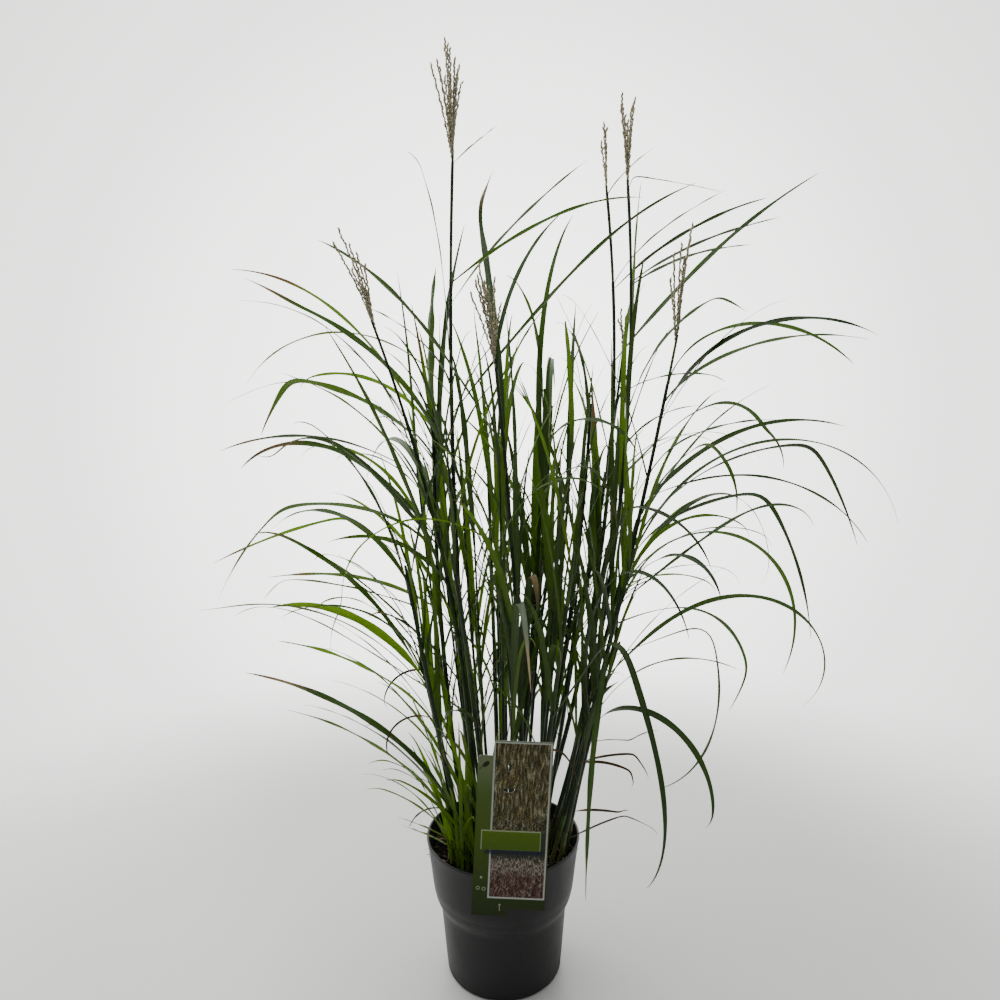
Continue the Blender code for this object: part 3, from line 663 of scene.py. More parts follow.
def addYoungBlades(foliage):
    look, chance = youngLook, random.Random(youngLook["seed"])
    for index in range(look["count"]):
        reach = math.sqrt((index + 0.5) / look["count"])
        x = look["centre"][0] + look["spread"][0] * reach * math.cos(goldenTurn * index)
        y = look["centre"][1] + look["spread"][1] * reach * math.sin(goldenTurn * index)
        rise = pick(chance, look, "rise")
        row = ((x, y), soilTop - 0.006, pick(chance, look, "compass"), pick(chance, look, "length"), rise,
               rise - pick(chance, look, "bend"), pick(chance, look, "late"), pick(chance, look, "width"),
               pick(chance, look, "twist"))
        addLeaf(foliage, row, chance, pick(chance, look, "tint"), look["dry"],
                stations=leafLook["fillerStations"])


def addBroadBlades(foliage):  # steep blades that close the middle of the clump
    look, chance = broadLook, random.Random(broadLook["seed"])
    sources = [*innerCulms, *shoots, "leafy_culm_08", "leafy_culm_05", "leafy_culm_06"]
    for index in range(look["count"]):
        name = sources[index % len(sources)]
        height = min(pick(chance, look, "from"), allCulms[name][0][2][2] - 0.02)
        rise = pick(chance, look, "rise")
        row = (name, height, goldenDegrees * index, pick(chance, look, "length"), rise,
               rise - pick(chance, look, "bend"), pick(chance, look, "late"), pick(chance, look, "width"),
               pick(chance, look, "twist"))
        addLeaf(foliage, row, chance, pick(chance, look, "tint"), look["dry"],
                stations=leafLook["fillerStations"])


def addOuterBlades(foliage, sheaths):  # arching blades along both sides of the clump
    look, chance = outerLook, random.Random(outerLook["seed"])
    low, high = look["from"]
    for side, middle in (("left", 180), ("right", 0)):
        names, count = look[side], look[side + "Count"]
        for index in range(count):
            name = names[index % len(names)]
            top = allCulms[name][0][2][2]
            height = min(low + (high - low) * (index + chance.random()) / count, top - 0.02)
            rise = pick(chance, look, "rise")
            bend = pick(chance, look, "bend") * min(1.0, (height - soilTop) / 0.35)
            row = (name, height, middle + pick(chance, look, "spread"), pick(chance, look, "length"), rise,
                   rise - bend, pick(chance, look, "late"), pick(chance, look, "width"),
                   pick(chance, look, "twist"))
            tint = pick(chance, look, "tint")
            addLeaf(foliage, row, chance, tint, pick(chance, look, "dry"),
                    stations=leafLook["fillerStations"])
            addSheath(sheaths, name, height, chance, tint)


def buildGrass(blade, stem):
    chance = random.Random(leafLook["seed"])
    sheaths = Foliage()
    for index, row in enumerate(heroLeaves):
        leaf = Foliage()
        addLeaf(leaf, row, chance, tint=heroLitShadeTints.get(index), curl=0.0, bow=0.02)
        addSheath(sheaths, row[0], row[1], chance, 0.4)
        piece = leaf.build(f"longBlade{index + 1:02d}", blade)
        finishPiece(piece, "blade", f"leaf_{index + 1:02d}")
    traced = Foliage()
    for row in sideLeaves:
        addLeaf(traced, row, chance, curl=0.0, bow=0.03)
        addSheath(sheaths, row[0], row[1], chance, 0.5)
    finishPiece(traced.build("sideBlades", blade), "blade")
    dead = Foliage()
    for row in dryStrands:
        addLeaf(dead, row, chance, tint=0.3, dry=1.0)
    finishPiece(dead.build("dryStrands", blade), "blade")
    fillers = Foliage()
    addFillers(fillers, sheaths)
    addYoungBlades(fillers)
    addBroadBlades(fillers)
    finishPiece(fillers.build("innerBlades", blade), "blade")
    outer = Foliage()
    addOuterBlades(outer, sheaths)
    finishPiece(outer.build("outerBlades", blade), "blade")
    for names, pieceName, slotName in ((flowering, "floweringCulm", "flowering_culm"),
                                       (leafy, "leafyCulm", "leafy_culm")):
        for index, name in enumerate(names):
            culm = Foliage()
            addCulm(culm, name, chance)
            finishPiece(culm.build(f"{pieceName}{index + 1:02d}", stem), slotName, name)
    inner = Foliage()
    for name in (*innerCulms, *shoots):
        addCulm(inner, name, chance)
    finishPiece(inner.build("innerCulms", stem), "leafy_culm")
    finishPiece(sheaths.build("leafSheaths", stem), "leafy_culm")


# Geometry node helpers

def newTree(name, inputs):
    tree = bpy.data.node_groups.new(name, "GeometryNodeTree")
    tree.interface.new_socket(name="Geometry", in_out="INPUT", socket_type="NodeSocketGeometry")
    for label, kind in inputs:
        tree.interface.new_socket(name=label, in_out="INPUT", socket_type=kind)
    tree.interface.new_socket(name="Geometry", in_out="OUTPUT", socket_type="NodeSocketGeometry")
    return tree, tree.nodes.new("NodeGroupInput").outputs


def grow(name, source, tree, values):  # runs the tree on source and keeps the result as a plain mesh
    modifier = source.modifiers.new(name, "NODES")
    modifier.node_group = tree
    for item in tree.interface.items_tree:
        if item.in_out == "INPUT" and item.name in values:
            modifier[item.identifier] = values[item.name]
    bpy.context.view_layer.update()
    graph = bpy.context.evaluated_depsgraph_get()
    mesh = bpy.data.meshes.new_from_object(source.evaluated_get(graph))
    mesh.name = name
    mesh.shade_smooth()
    source.modifiers.remove(modifier)
    piece = bpy.data.objects.new(name, mesh)
    bpy.context.scene.collection.objects.link(piece)
    return piece


def randomBetween(tree, low, high, seed, dataType="FLOAT"):
    node = addNode(tree, "FunctionNodeRandomValue", data_type=dataType)
    places = {"FLOAT": (2, 3, 1), "FLOAT_VECTOR": (0, 1, 0)}[dataType]
    put(tree, node.inputs[places[0]], low)
    put(tree, node.inputs[places[1]], high)
    put(tree, node.inputs["Seed"], seed)
    return node.outputs[places[2]]


def addTint(tree, instances, seed):
    node = addNode(tree, "GeometryNodeStoreNamedAttribute", {"Geometry": instances, "Name": "tint"},
                   data_type="FLOAT", domain="INSTANCE")
    put(tree, node.inputs["Value"], randomBetween(tree, 0.0, 1.0, seed))
    return node.outputs[0]


def scatterTree():  # grains on the upward faces of a surface, kept clear of the pot's wall
    tree, given = newTree("scatterOnSoil", (
        ("Grain", "NodeSocketObject"), ("Density", valueKind), ("Smallest", valueKind),
        ("Largest", valueKind),
        ("Reach", valueKind), ("Lying", valueKind), ("Seed", "NodeSocketInt"),
        ("Material", "NodeSocketMaterial")))
    facing = addNode(tree, "GeometryNodeInputNormal").outputs[0]
    normal = addNode(tree, "ShaderNodeSeparateXYZ", {0: facing})
    place = addNode(tree, "GeometryNodeInputPosition").outputs[0]
    flat = addNode(tree, "ShaderNodeVectorMath", {0: place, 1: (1.0, 1.0, 0.0)},
                   operation="MULTIPLY").outputs[0]
    away = addNode(tree, "ShaderNodeVectorMath", {0: flat}, operation="LENGTH").outputs["Value"]
    upward = calc(tree, "GREATER_THAN", normal.outputs[2], 0.5)
    wanted = calc(tree, "MULTIPLY", upward, calc(tree, "LESS_THAN", away, given["Reach"]))
    points = addNode(tree, "GeometryNodeDistributePointsOnFaces",
                     {"Mesh": given["Geometry"], "Selection": wanted, "Density": given["Density"],
                      "Seed": given["Seed"]})
    tilt = addNode(tree, "ShaderNodeVectorMath", {0: (3.1, 3.1, 0.0)}, operation="SCALE")
    put(tree, tilt.inputs["Scale"], calc(tree, "SUBTRACT", 1.0, given["Lying"]))
    high = addNode(tree, "ShaderNodeVectorMath", {0: tilt.outputs[0], 1: (0.25, 0.25, 6.28)},
                   operation="ADD")
    low = addNode(tree, "ShaderNodeVectorMath", {0: tilt.outputs[0], 1: (0.25, 0.25, 0.0)}, operation="ADD")
    negative = addNode(tree, "ShaderNodeVectorMath", {0: low.outputs[0], 1: (-1.0, -1.0, -1.0)},
                       operation="MULTIPLY")
    turn = randomBetween(tree, negative.outputs[0], high.outputs[0], given["Seed"], "FLOAT_VECTOR")
    rotation = addNode(tree, "FunctionNodeEulerToRotation", {0: turn}).outputs[0]
    size = randomBetween(tree, given["Smallest"], given["Largest"], calc(tree, "ADD", given["Seed"], 7))
    shape = addNode(tree, "GeometryNodeObjectInfo", {"Object": given["Grain"]}).outputs["Geometry"]
    grains = addNode(tree, "GeometryNodeInstanceOnPoints",
                     {"Points": points.outputs[0], "Instance": shape, "Rotation": rotation, "Scale": size})
    tinted = addTint(tree, grains.outputs[0], given["Seed"])
    real = addNode(tree, "GeometryNodeRealizeInstances", {0: tinted}).outputs[0]
    painted = addNode(tree, "GeometryNodeSetMaterial", {"Geometry": real, "Material": given["Material"]})
    addNode(tree, "NodeGroupOutput", {0: painted.outputs[0]})
    return tree


def plumeTree():  # spikelets in pairs along thin branches
    tree, given = newTree("spikeletsOnBranches", (
        ("Spikelet", "NodeSocketObject"), ("Spacing", valueKind), ("Branch Radius", valueKind),
        ("Lean", valueKind),
        ("Smallest", valueKind), ("Largest", valueKind), ("Seed", "NodeSocketInt"),
        ("Material", "NodeSocketMaterial")))
    curve = addNode(tree, "GeometryNodeMeshToCurve", {"Mesh": given["Geometry"]}).outputs[0]
    spaced = addNode(tree, "GeometryNodeResampleCurve", {"Curve": curve}, mode="LENGTH")
    put(tree, spaced.inputs["Length"], given["Spacing"])
    tangent = addNode(tree, "GeometryNodeInputTangent").outputs[0]
    index = addNode(tree, "GeometryNodeInputIndex").outputs[0]
    shape = addNode(tree, "GeometryNodeObjectInfo", {"Object": given["Spikelet"]}).outputs["Geometry"]
    joined = addNode(tree, "GeometryNodeJoinGeometry")
    for side in range(2):
        aligned = addNode(tree, "FunctionNodeAlignRotationToVector", {"Vector": tangent},
                          axis="Z").outputs[0]
        wander = randomBetween(tree, -0.6, 0.6, calc(tree, "ADD", given["Seed"], 3 + side))
        spin = calc(tree, "ADD", calc(tree, "MULTIPLY", index, math.pi * 1.03),
                    calc(tree, "ADD", wander, 1.15 * side))
        turned = addNode(tree, "ShaderNodeCombineXYZ", {2: spin}).outputs[0]
        spun = addNode(tree, "FunctionNodeRotateRotation",
                       {0: aligned, 1: addNode(tree, "FunctionNodeEulerToRotation",
                                               {0: turned}).outputs[0]},
                       rotation_space="LOCAL").outputs[0]
        lean = randomBetween(tree, calc(tree, "MULTIPLY", given["Lean"], 0.6), given["Lean"], given["Seed"])
        tipped = addNode(tree, "ShaderNodeCombineXYZ", {0: lean}).outputs[0]
        leaning = addNode(tree, "FunctionNodeRotateRotation",
                          {0: spun, 1: addNode(tree, "FunctionNodeEulerToRotation",
                                               {0: tipped}).outputs[0]},
                          rotation_space="LOCAL").outputs[0]
        size = randomBetween(tree, given["Smallest"], given["Largest"],
                             calc(tree, "ADD", given["Seed"], 11 + side))
        grains = addNode(tree, "GeometryNodeInstanceOnPoints",
                         {"Points": spaced.outputs[0], "Instance": shape, "Rotation": leaning,
                          "Scale": size})
        tree.links.new(addTint(tree, grains.outputs[0], given["Seed"]), joined.inputs[0])
    profile = addNode(tree, "GeometryNodeCurvePrimitiveCircle",
                      {"Resolution": 5, "Radius": given["Branch Radius"]})
    stalk = addNode(tree, "GeometryNodeCurveToMesh",
                    {"Curve": curve, "Profile Curve": profile.outputs[0], "Fill Caps": True})
    tree.links.new(stalk.outputs[0], joined.inputs[0])
    real = addNode(tree, "GeometryNodeRealizeInstances", {0: joined.outputs[0]}).outputs[0]
    painted = addNode(tree, "GeometryNodeSetMaterial", {"Geometry": real, "Material": given["Material"]})
    addNode(tree, "NodeGroupOutput", {0: painted.outputs[0]})
    return tree


# Plumes: each branch's tip from the plume's foot, sideways and up

plumeBranches = {
    "plume_1": ((-0.0253, 0.101), (-0.014, 0.0925), (-0.0076, 0.128), (-0.0013, 0.1153), (0.004, 0.1064),
                (0.0085, 0.101), (-0.009, 0.089), (0.0025, 0.082), (-0.018, 0.106), (0.0065, 0.090),
                (-0.0045, 0.119), (0.011, 0.084)),
    "plume_2": ((-0.0067, 0.054), (-0.004, 0.075), (-0.0013, 0.068), (0.001, 0.050)),
    "plume_3": ((-0.0063, 0.103), (-0.0088, 0.087), (0.0, 0.069), (0.0038, 0.082), (0.007, 0.092),
                (-0.003, 0.076)),
    "plume_4": ((0.002, 0.096), (-0.001, 0.067), (0.009, 0.106), (0.0233, 0.131), (0.0214, 0.113),
                (0.014, 0.090)),
    "plume_5": ((-0.028, 0.0746), (-0.022, 0.089), (-0.0196, 0.094), (-0.0177, 0.105), (-0.012, 0.089),
                (0.0, 0.094), (0.007, 0.061), (-0.0073, 0.0795)),
    "plume_6": ((-0.043, 0.110), (-0.0466, 0.0895), (-0.030, 0.0895), (-0.0214, 0.079), (-0.011, 0.062),
                (-0.028, 0.0605)),
    "plume_7": ((-0.004, 0.050), (0.002, 0.043), (-0.006, 0.038)),
}
plumeStarts = {  # how far below the top of its stem a plume starts, and how far its tips move sideways
    "plume_1": (0.013, 0.0), "plume_2": (0.011, 0.0), "plume_3": (0.018, 0.0), "plume_4": (0.012, -0.007),
    "plume_5": (0.012, 0.0), "plume_6": (0.020, 0.005), "plume_7": (0.004, 0.0),
}
plumeLook = {"spacing": 0.0031, "branchRadius": 0.0006, "lean": 0.24, "smallest": 0.8, "largest": 1.2,
             "depth": 0.010, "spikeletLength": 0.0065, "spikeletRadius": 0.00115, "through": 0.45,
             "seed": 5,
             "husk": (0.270, 0.235, 0.125), "pale": (0.78, 0.73, 0.52), "tip": (0.82, 0.78, 0.58),
             "stalk": (0.110, 0.105, 0.060)}


def plumeMaterial():
    group = newGroup("plumeColour", (("Colour", colourKind), ("Height", valueKind)))
    tipward, tint, spot = readValue(group, "tipward"), readValue(group, "tint"), objectPlace(group)
    shade = calc(group, "MULTIPLY_ADD", grain(group, spot, 400.0, 2.0), 0.5,
                 calc(group, "MULTIPLY", tint, 0.6))
    husk = mixColour(group, limited(group, shade), plumeLook["husk"], plumeLook["pale"])
    husk = mixColour(group, smooth(group, tipward, 0.60, 1.0), husk, plumeLook["tip"])
    colour = mixColour(group, smooth(group, tipward, 0.0, 0.12), plumeLook["stalk"], husk)
    endGroup(group, {"Colour": colour, "Height": grain(group, spot, 900.0, 2.0)})
    material, tree, shader = newMaterial("plumeStraw")
    look = useGroup(tree, group)
    put(tree, shader.inputs["Base Color"], look.outputs["Colour"])
    shader.inputs["Roughness"].default_value = 0.75
    addBump(tree, shader, look.outputs["Height"], 0.4, 0.0003)
    through = addNode(tree, "ShaderNodeBsdfTranslucent", {"Color": look.outputs["Colour"]})
    both = addNode(tree, "ShaderNodeMixShader", {0: plumeLook["through"], 1: shader.outputs[0],
                                                 2: through.outputs[0]})
    tree.links.new(both.outputs[0], tree.nodes["Material Output"].inputs["Surface"])
    return material


def buildSpikelet(length, radius, sides=5):
    steps = ((0.0, 0.30), (0.35, 1.0), (0.72, 0.62))
    points, faces = [], []
    for part, wide in steps:
        for side in range(sides):
            angle = 2 * math.pi * side / sides
            points.append((radius * wide * math.cos(angle), radius * wide * math.sin(angle),
                           0.0004 + length * part))
    tip = len(points)
    points.append((0.0, 0.0, length))
    for step in range(len(steps) - 1):
        for side in range(sides):
            low, after = step * sides, (side + 1) % sides
            faces.append((low + side, low + after, low + sides + after, low + sides + side))
    last = (len(steps) - 1) * sides
    faces += [(last + side, last + (side + 1) % sides, tip) for side in range(sides)]
    faces.append(tuple(reversed(range(sides))))
    mesh = bpy.data.meshes.new("spikelet")
    mesh.from_pydata(points, [], faces)
    mesh.attributes.new("tipward", "FLOAT", "POINT").data.foreach_set(
        "value", [0.15 + 0.85 * point[2] / length for point in points])
    return addTemplate("spikelet", mesh)


def addTemplate(name, mesh):
    item = bpy.data.objects.new(name, mesh)
    bpy.context.scene.collection.objects.link(item)
    return item


def dropTemplates(*items):
    for item in items:
        bpy.data.objects.remove(item, do_unlink=True)


def buildPlumes():
    tree, material = plumeTree(), plumeMaterial()
    spikelet = buildSpikelet(plumeLook["spikeletLength"], plumeLook["spikeletRadius"])
    chance = random.Random(plumeLook["seed"])
    for order, (name, branches) in enumerate(plumeBranches.items()):
        culm = flowering[name.replace("plume", "flowering_culm")]
        top = Vector(culm[2])
        drop, shift = plumeStarts[name]
        points, edges = [], []
        for branch, (across, high) in enumerate(branches):
            start = culmPoint(culm, top.z - drop + 0.024 * branch / len(branches))
            tip = top + Vector((across + shift, plumeLook["depth"] * chance.uniform(-1, 1), high))
            bend = start.lerp(tip, 0.5) + Vector((-0.12 * across, 0.0, 0.004))
            first, steps = len(points), 14
            for step in range(steps + 1):
                part = step / steps
                spot = start * (1 - part) ** 2 + bend * 2 * part * (1 - part) + tip * part ** 2
                wobble = 0.0004 * (-1) ** step * min(1.0, 3 * part)
                points.append(spot + Vector((wobble, chance.uniform(-0.0004, 0.0004), 0.0)))
            edges += [(first + step, first + step + 1) for step in range(steps)]
        mesh = bpy.data.meshes.new("branches")
        mesh.from_pydata(points, edges, [])
        source = addTemplate("branches", mesh)
        piece = grow(f"flowerHead{order + 1}", source, tree, {
            "Spikelet": spikelet, "Spacing": plumeLook["spacing"],
            "Branch Radius": plumeLook["branchRadius"],
            "Lean": plumeLook["lean"], "Smallest": plumeLook["smallest"], "Largest": plumeLook["largest"],
            "Seed": plumeLook["seed"] + order, "Material": material})
        dropTemplates(source)
        finishPiece(piece, "plume", name)
    dropTemplates(spikelet)


# Pot

potLook = {"sides": 144, "footPad": 0.020, "footRing": 0.0775, "floorRise": 0.003, "wall": 0.0018,
           "notches": 8, "holes": 6, "plastic": (0.0062, 0.0070, 0.0072), "dust": (0.034, 0.034, 0.032),
           "speck": (0.030, 0.020, 0.013), "roughness": 0.40}
potOutside = ((0.0815, 0.004), (0.0843, 0.035), (0.0868, 0.066), (0.0888, 0.090), (0.0893, 0.0955),
              (0.0903, 0.0995),
              (0.0925, 0.1035), (0.0950, 0.1080), (0.0968, 0.1130), (0.0980, 0.1185), (0.0984, 0.1212),
              (0.0989, 0.1220), (0.1005, 0.1330), (0.1030, 0.1560), (0.1056, 0.1760), (0.1078, 0.1915))


def potMaterial():
    group = newGroup("potSurface", (("Colour", colourKind), ("Roughness", valueKind),
                                    ("Height", valueKind)))
    spot = objectPlace(group)
    tall = addNode(group, "ShaderNodeSeparateXYZ", {0: spot}).outputs[2]
    cloudy = grain(group, spot, 16.0, 5.0, 0.62, (1.0, 1.0, 0.7))
    film = smooth(group, cloudy, 0.45, 0.80)
    runs = smooth(group, grain(group, spot, 60.0, 3.0, 0.5, (1.0, 1.0, 0.09)), 0.56, 0.74)
    lowDust = calc(group, "SUBTRACT", 1.0, smooth(group, tall, 0.0, 0.030))
    dusty = calc(group, "ADD", calc(group, "MULTIPLY", film, 0.16),
                 calc(group, "MULTIPLY_ADD", runs, 0.07, calc(group, "MULTIPLY", lowDust, 0.12)))
    cells = addNode(group, "ShaderNodeTexVoronoi", {"Vector": spot, "Scale": 150.0})
    near = calc(group, "SUBTRACT", 1.0, smooth(group, cells.outputs["Distance"], 0.10, 0.20))
    some = smooth(group, grain(group, spot, 30.0, 2.0), 0.60, 0.68)
    specks = calc(group, "MULTIPLY", near, some)
    colour = mixColour(group, dusty, potLook["plastic"], potLook["dust"])
    colour = mixColour(group, specks, colour, potLook["speck"])
    fine = grain(group, spot, 900.0, 2.0)
    roughness = calc(group, "MULTIPLY_ADD", dusty, 0.8, calc(group, "MULTIPLY_ADD", fine, 0.10,
                                                             potLook["roughness"]))
    roughness = limited(group, calc(group, "MULTIPLY_ADD", specks, 0.4, roughness))
    height = calc(group, "MULTIPLY_ADD", specks, 3.0, fine)
    endGroup(group, {"Colour": colour, "Roughness": roughness, "Height": height})
    material, tree, shader = newMaterial("potPlastic")
    look = useGroup(tree, group)
    put(tree, shader.inputs["Base Color"], look.outputs["Colour"])
    put(tree, shader.inputs["Roughness"], look.outputs["Roughness"])
    shader.inputs["Specular IOR Level"].default_value = 0.32
    addBump(tree, shader, look.outputs["Height"], 0.25, 0.0002)
    return material


def turnProfile(mesh, profile, sides):
    rings = []
    for radius, height in profile:
        rings.append([mesh.verts.new((radius * math.cos(2 * math.pi * side / sides),
                                      radius * math.sin(2 * math.pi * side / sides),
                                      height)) for side in range(sides)])
    for low, high in zip(rings[:-1], rings[1:]):
        for side in range(sides):
            after = (side + 1) % sides
            mesh.faces.new((low[side], low[after], high[after], high[side]))
    mesh.faces.new(list(reversed(rings[0])))
    mesh.faces.new(rings[-1])


def applied(item, cutters=()):  # the item's mesh with the cutters taken out of it
    for cutter in cutters:
        boolean = item.modifiers.new("cut", "BOOLEAN")
        boolean.operation = "DIFFERENCE"
        boolean.solver = "EXACT"
        boolean.object = cutter
    bpy.context.view_layer.update()
    graph = bpy.context.evaluated_depsgraph_get()
    mesh = bpy.data.meshes.new_from_object(item.evaluated_get(graph))
    item.modifiers.clear()
    item.data = mesh
    dropTemplates(*cutters)
    return item


def fromBmesh(name, shape, material, smoothAngle=35):
    bmesh.ops.recalc_face_normals(shape, faces=shape.faces)
    mesh = bpy.data.meshes.new(name)
    shape.to_mesh(mesh)
    shape.free()
    mesh.materials.append(material)
    item = addTemplate(name, mesh)
    mesh.shade_smooth()
    mesh.set_sharp_from_angle(angle=math.radians(smoothAngle))
    return item


def buildPot():
    foot, rise, wall = potLook["footRing"], potLook["floorRise"], potLook["wall"]
    pad = potLook["footPad"]
    profile = [(pad - 0.004, 0.0006), (pad - 0.003, 0.0), (pad, 0.0), (pad + 0.0006, 0.0004),
               (pad + 0.002, rise)]
    for ridge in (0.030, 0.038, 0.054, 0.062):
        profile += [(ridge - 0.0008, rise), (ridge, rise - 0.0006), (ridge + 0.0008, rise)]
    profile += [(foot - 0.0062, rise), (foot - 0.0056, rise - 0.0006), (foot - 0.0042, 0.0004),
                (foot - 0.0034, 0.0)]
    profile += [(foot + 0.004 * math.sin(a), 0.004 - 0.004 * math.cos(a))
                for a in (math.pi / 2 * step / 7 for step in range(7))]
    profile += potOutside
    profile += [(0.1069 + 0.0016 * math.cos(a), 0.1944 + 0.0016 * math.sin(a))
                for a in (math.pi * step / 9 - 0.2 for step in range(11))]
    profile += [(radius - wall, height) for radius, height in reversed(potOutside)]
    profile += [(foot + 0.0012, 0.009), (foot - 0.002, rise + wall)]
    shell = bmesh.new()
    turnProfile(shell, profile, potLook["sides"])
    pot = fromBmesh("nurseryPot", shell, potMaterial(), 30)
    cutter = bmesh.new()
    for index in range(potLook["notches"]):
        angle = 2 * math.pi * (index + 0.5) / potLook["notches"] + math.radians(16)
        place = Matrix.Rotation(angle, 4, "Z") @ Matrix.Translation((foot + 0.001, 0.0, 0.0))
        bmesh.ops.create_cube(cutter, size=1.0, matrix=place @ Matrix.Diagonal((0.016, 0.020, 0.0052, 1.0)))
    for index in range(potLook["holes"]):
        angle = 2 * math.pi * index / potLook["holes"]
        place = Matrix.Translation((0.045 * math.cos(angle), 0.045 * math.sin(angle), rise))
        bmesh.ops.create_cone(cutter, cap_ends=True, segments=24, radius1=0.005, radius2=0.005, depth=0.012,
                              matrix=place)
    holes = fromBmesh("holes", cutter, pot.data.materials[0])
    pot = applied(pot, (holes,))
    pot.data.shade_smooth()
    pot.data.set_sharp_from_angle(angle=math.radians(30))
    finishPiece(pot, "pot_plastic", "pot")


# Soil

soilLook = {"seed": 3, "radius": 0.1000, "sides": 96, "rings": 40, "lump": 0.0045, "mound": 0.0060,
            "peat": (0.013, 0.0085, 0.0060), "wet": (0.005, 0.0036, 0.0028),
            "chipPale": (0.36, 0.235, 0.145),
            "chipDark": (0.050, 0.028, 0.017), "fibre": (0.30, 0.22, 0.14)}


longChips = (  # x, y, half length, half width, turn
    (-0.046, -0.077, 0.0125, 0.0021, 4), (-0.070, -0.056, 0.0080, 0.0016, 60),
    (-0.082, -0.030, 0.0065, 0.0018, 130), (0.058, -0.074, 0.0070, 0.0015, -25),
    (0.084, -0.028, 0.0060, 0.0014, 80),
)


def earthMaterial(name, dark, light, roughness):
    group = newGroup(name + "Surface", (("Colour", colourKind), ("Height", valueKind)))
    spot, tint = objectPlace(group), readValue(group, "tint")
    rough = grain(group, spot, 220.0, 4.0, 0.65)
    share = calc(group, "MULTIPLY_ADD", tint, 0.55, calc(group, "MULTIPLY_ADD", rough, 1.3, -0.40))
    endGroup(group, {"Colour": mixColour(group, limited(group, share), dark, light), "Height": rough})
    material, tree, shader = newMaterial(name)
    look = useGroup(tree, group)
    put(tree, shader.inputs["Base Color"], look.outputs["Colour"])
    shader.inputs["Roughness"].default_value = roughness
    shader.inputs["Specular IOR Level"].default_value = 0.25
    addBump(tree, shader, look.outputs["Height"], 0.8, 0.0008)
    return material


def soilHeight(x, y):
    place = Vector((x, y, 0.31 * soilLook["seed"]))
    lumps = noise.fractal(place * 60, 1.0, 2.1, 4)
    mound = math.exp(-((x - 0.012) ** 2 / 0.0036 + y ** 2 / 0.0022))
    return soilTop - 0.002 + soilLook["lump"] * lumps + soilLook["mound"] * mound


def buildTemplateGrain(name, size, jag, seed, detail=1):
    shape = bmesh.new()
    bmesh.ops.create_icosphere(shape, subdivisions=detail, radius=1.0)
    chance = random.Random(seed)
    for vert in shape.verts:
        vert.co = Vector(size) * (1 + chance.uniform(-jag, jag)) * vert.co.normalized()
    mesh = bpy.data.meshes.new(name)
    shape.to_mesh(mesh)
    shape.free()
    return addTemplate(name, mesh)


def buildFibre(name, seed):
    chance = random.Random(seed)
    fibre, point, heading = Foliage(), Vector((-0.012, 0.0, 0.001)), 0.0
    centres, radii = [], []
    for step in range(9):
        centres.append(point.copy())
        radii.append(0.00042 - 0.00003 * step)
        heading += chance.uniform(-0.45, 0.45)
        point = point + Vector((math.cos(heading), math.sin(heading), 0.35 * math.sin(step))) * 0.0032
    addTube(fibre, centres, radii, 5)
    mesh = bpy.data.meshes.new(name)
    mesh.from_pydata(fibre.points, [], fibre.faces)
    return addTemplate(name, mesh)


def buildLongChips(paint):  # a few larger splinters of bark lying on the peat
    for index, (x, y, length, wide, turn) in enumerate(longChips):
        shape = bmesh.new()
        bmesh.ops.create_icosphere(shape, subdivisions=3, radius=1.0)
        for vert in shape.verts:
            along, across, high = vert.co
            rough = noise.noise(vert.co * 2.3 + Vector((index, 0.0, 0.0))) * 0.35
            vert.co = Vector((length * along,
                              wide * (across + rough) * (1 - 0.4 * along ** 2) + 0.10 * length * along ** 2,
                              0.0011 * (high + rough)))
        around = [(x + dx * length, y + dy * length) for dx in (-1, 0, 1) for dy in (-1, 0, 1)]
        middle = Vector((x, y, max(soilHeight(*spot) for spot in around)))
        bmesh.ops.transform(shape, verts=shape.verts,
                            matrix=Matrix.Translation(middle) @ Matrix.Rotation(math.radians(turn), 4, "Z"))
        chip = fromBmesh(f"longChip{index + 1}", shape, paint, 60)
        tint = chip.data.attributes.new("tint", "FLOAT", "POINT")
        tint.data.foreach_set("value", [0.9] * len(chip.data.vertices))
        finishPiece(chip, "peat")


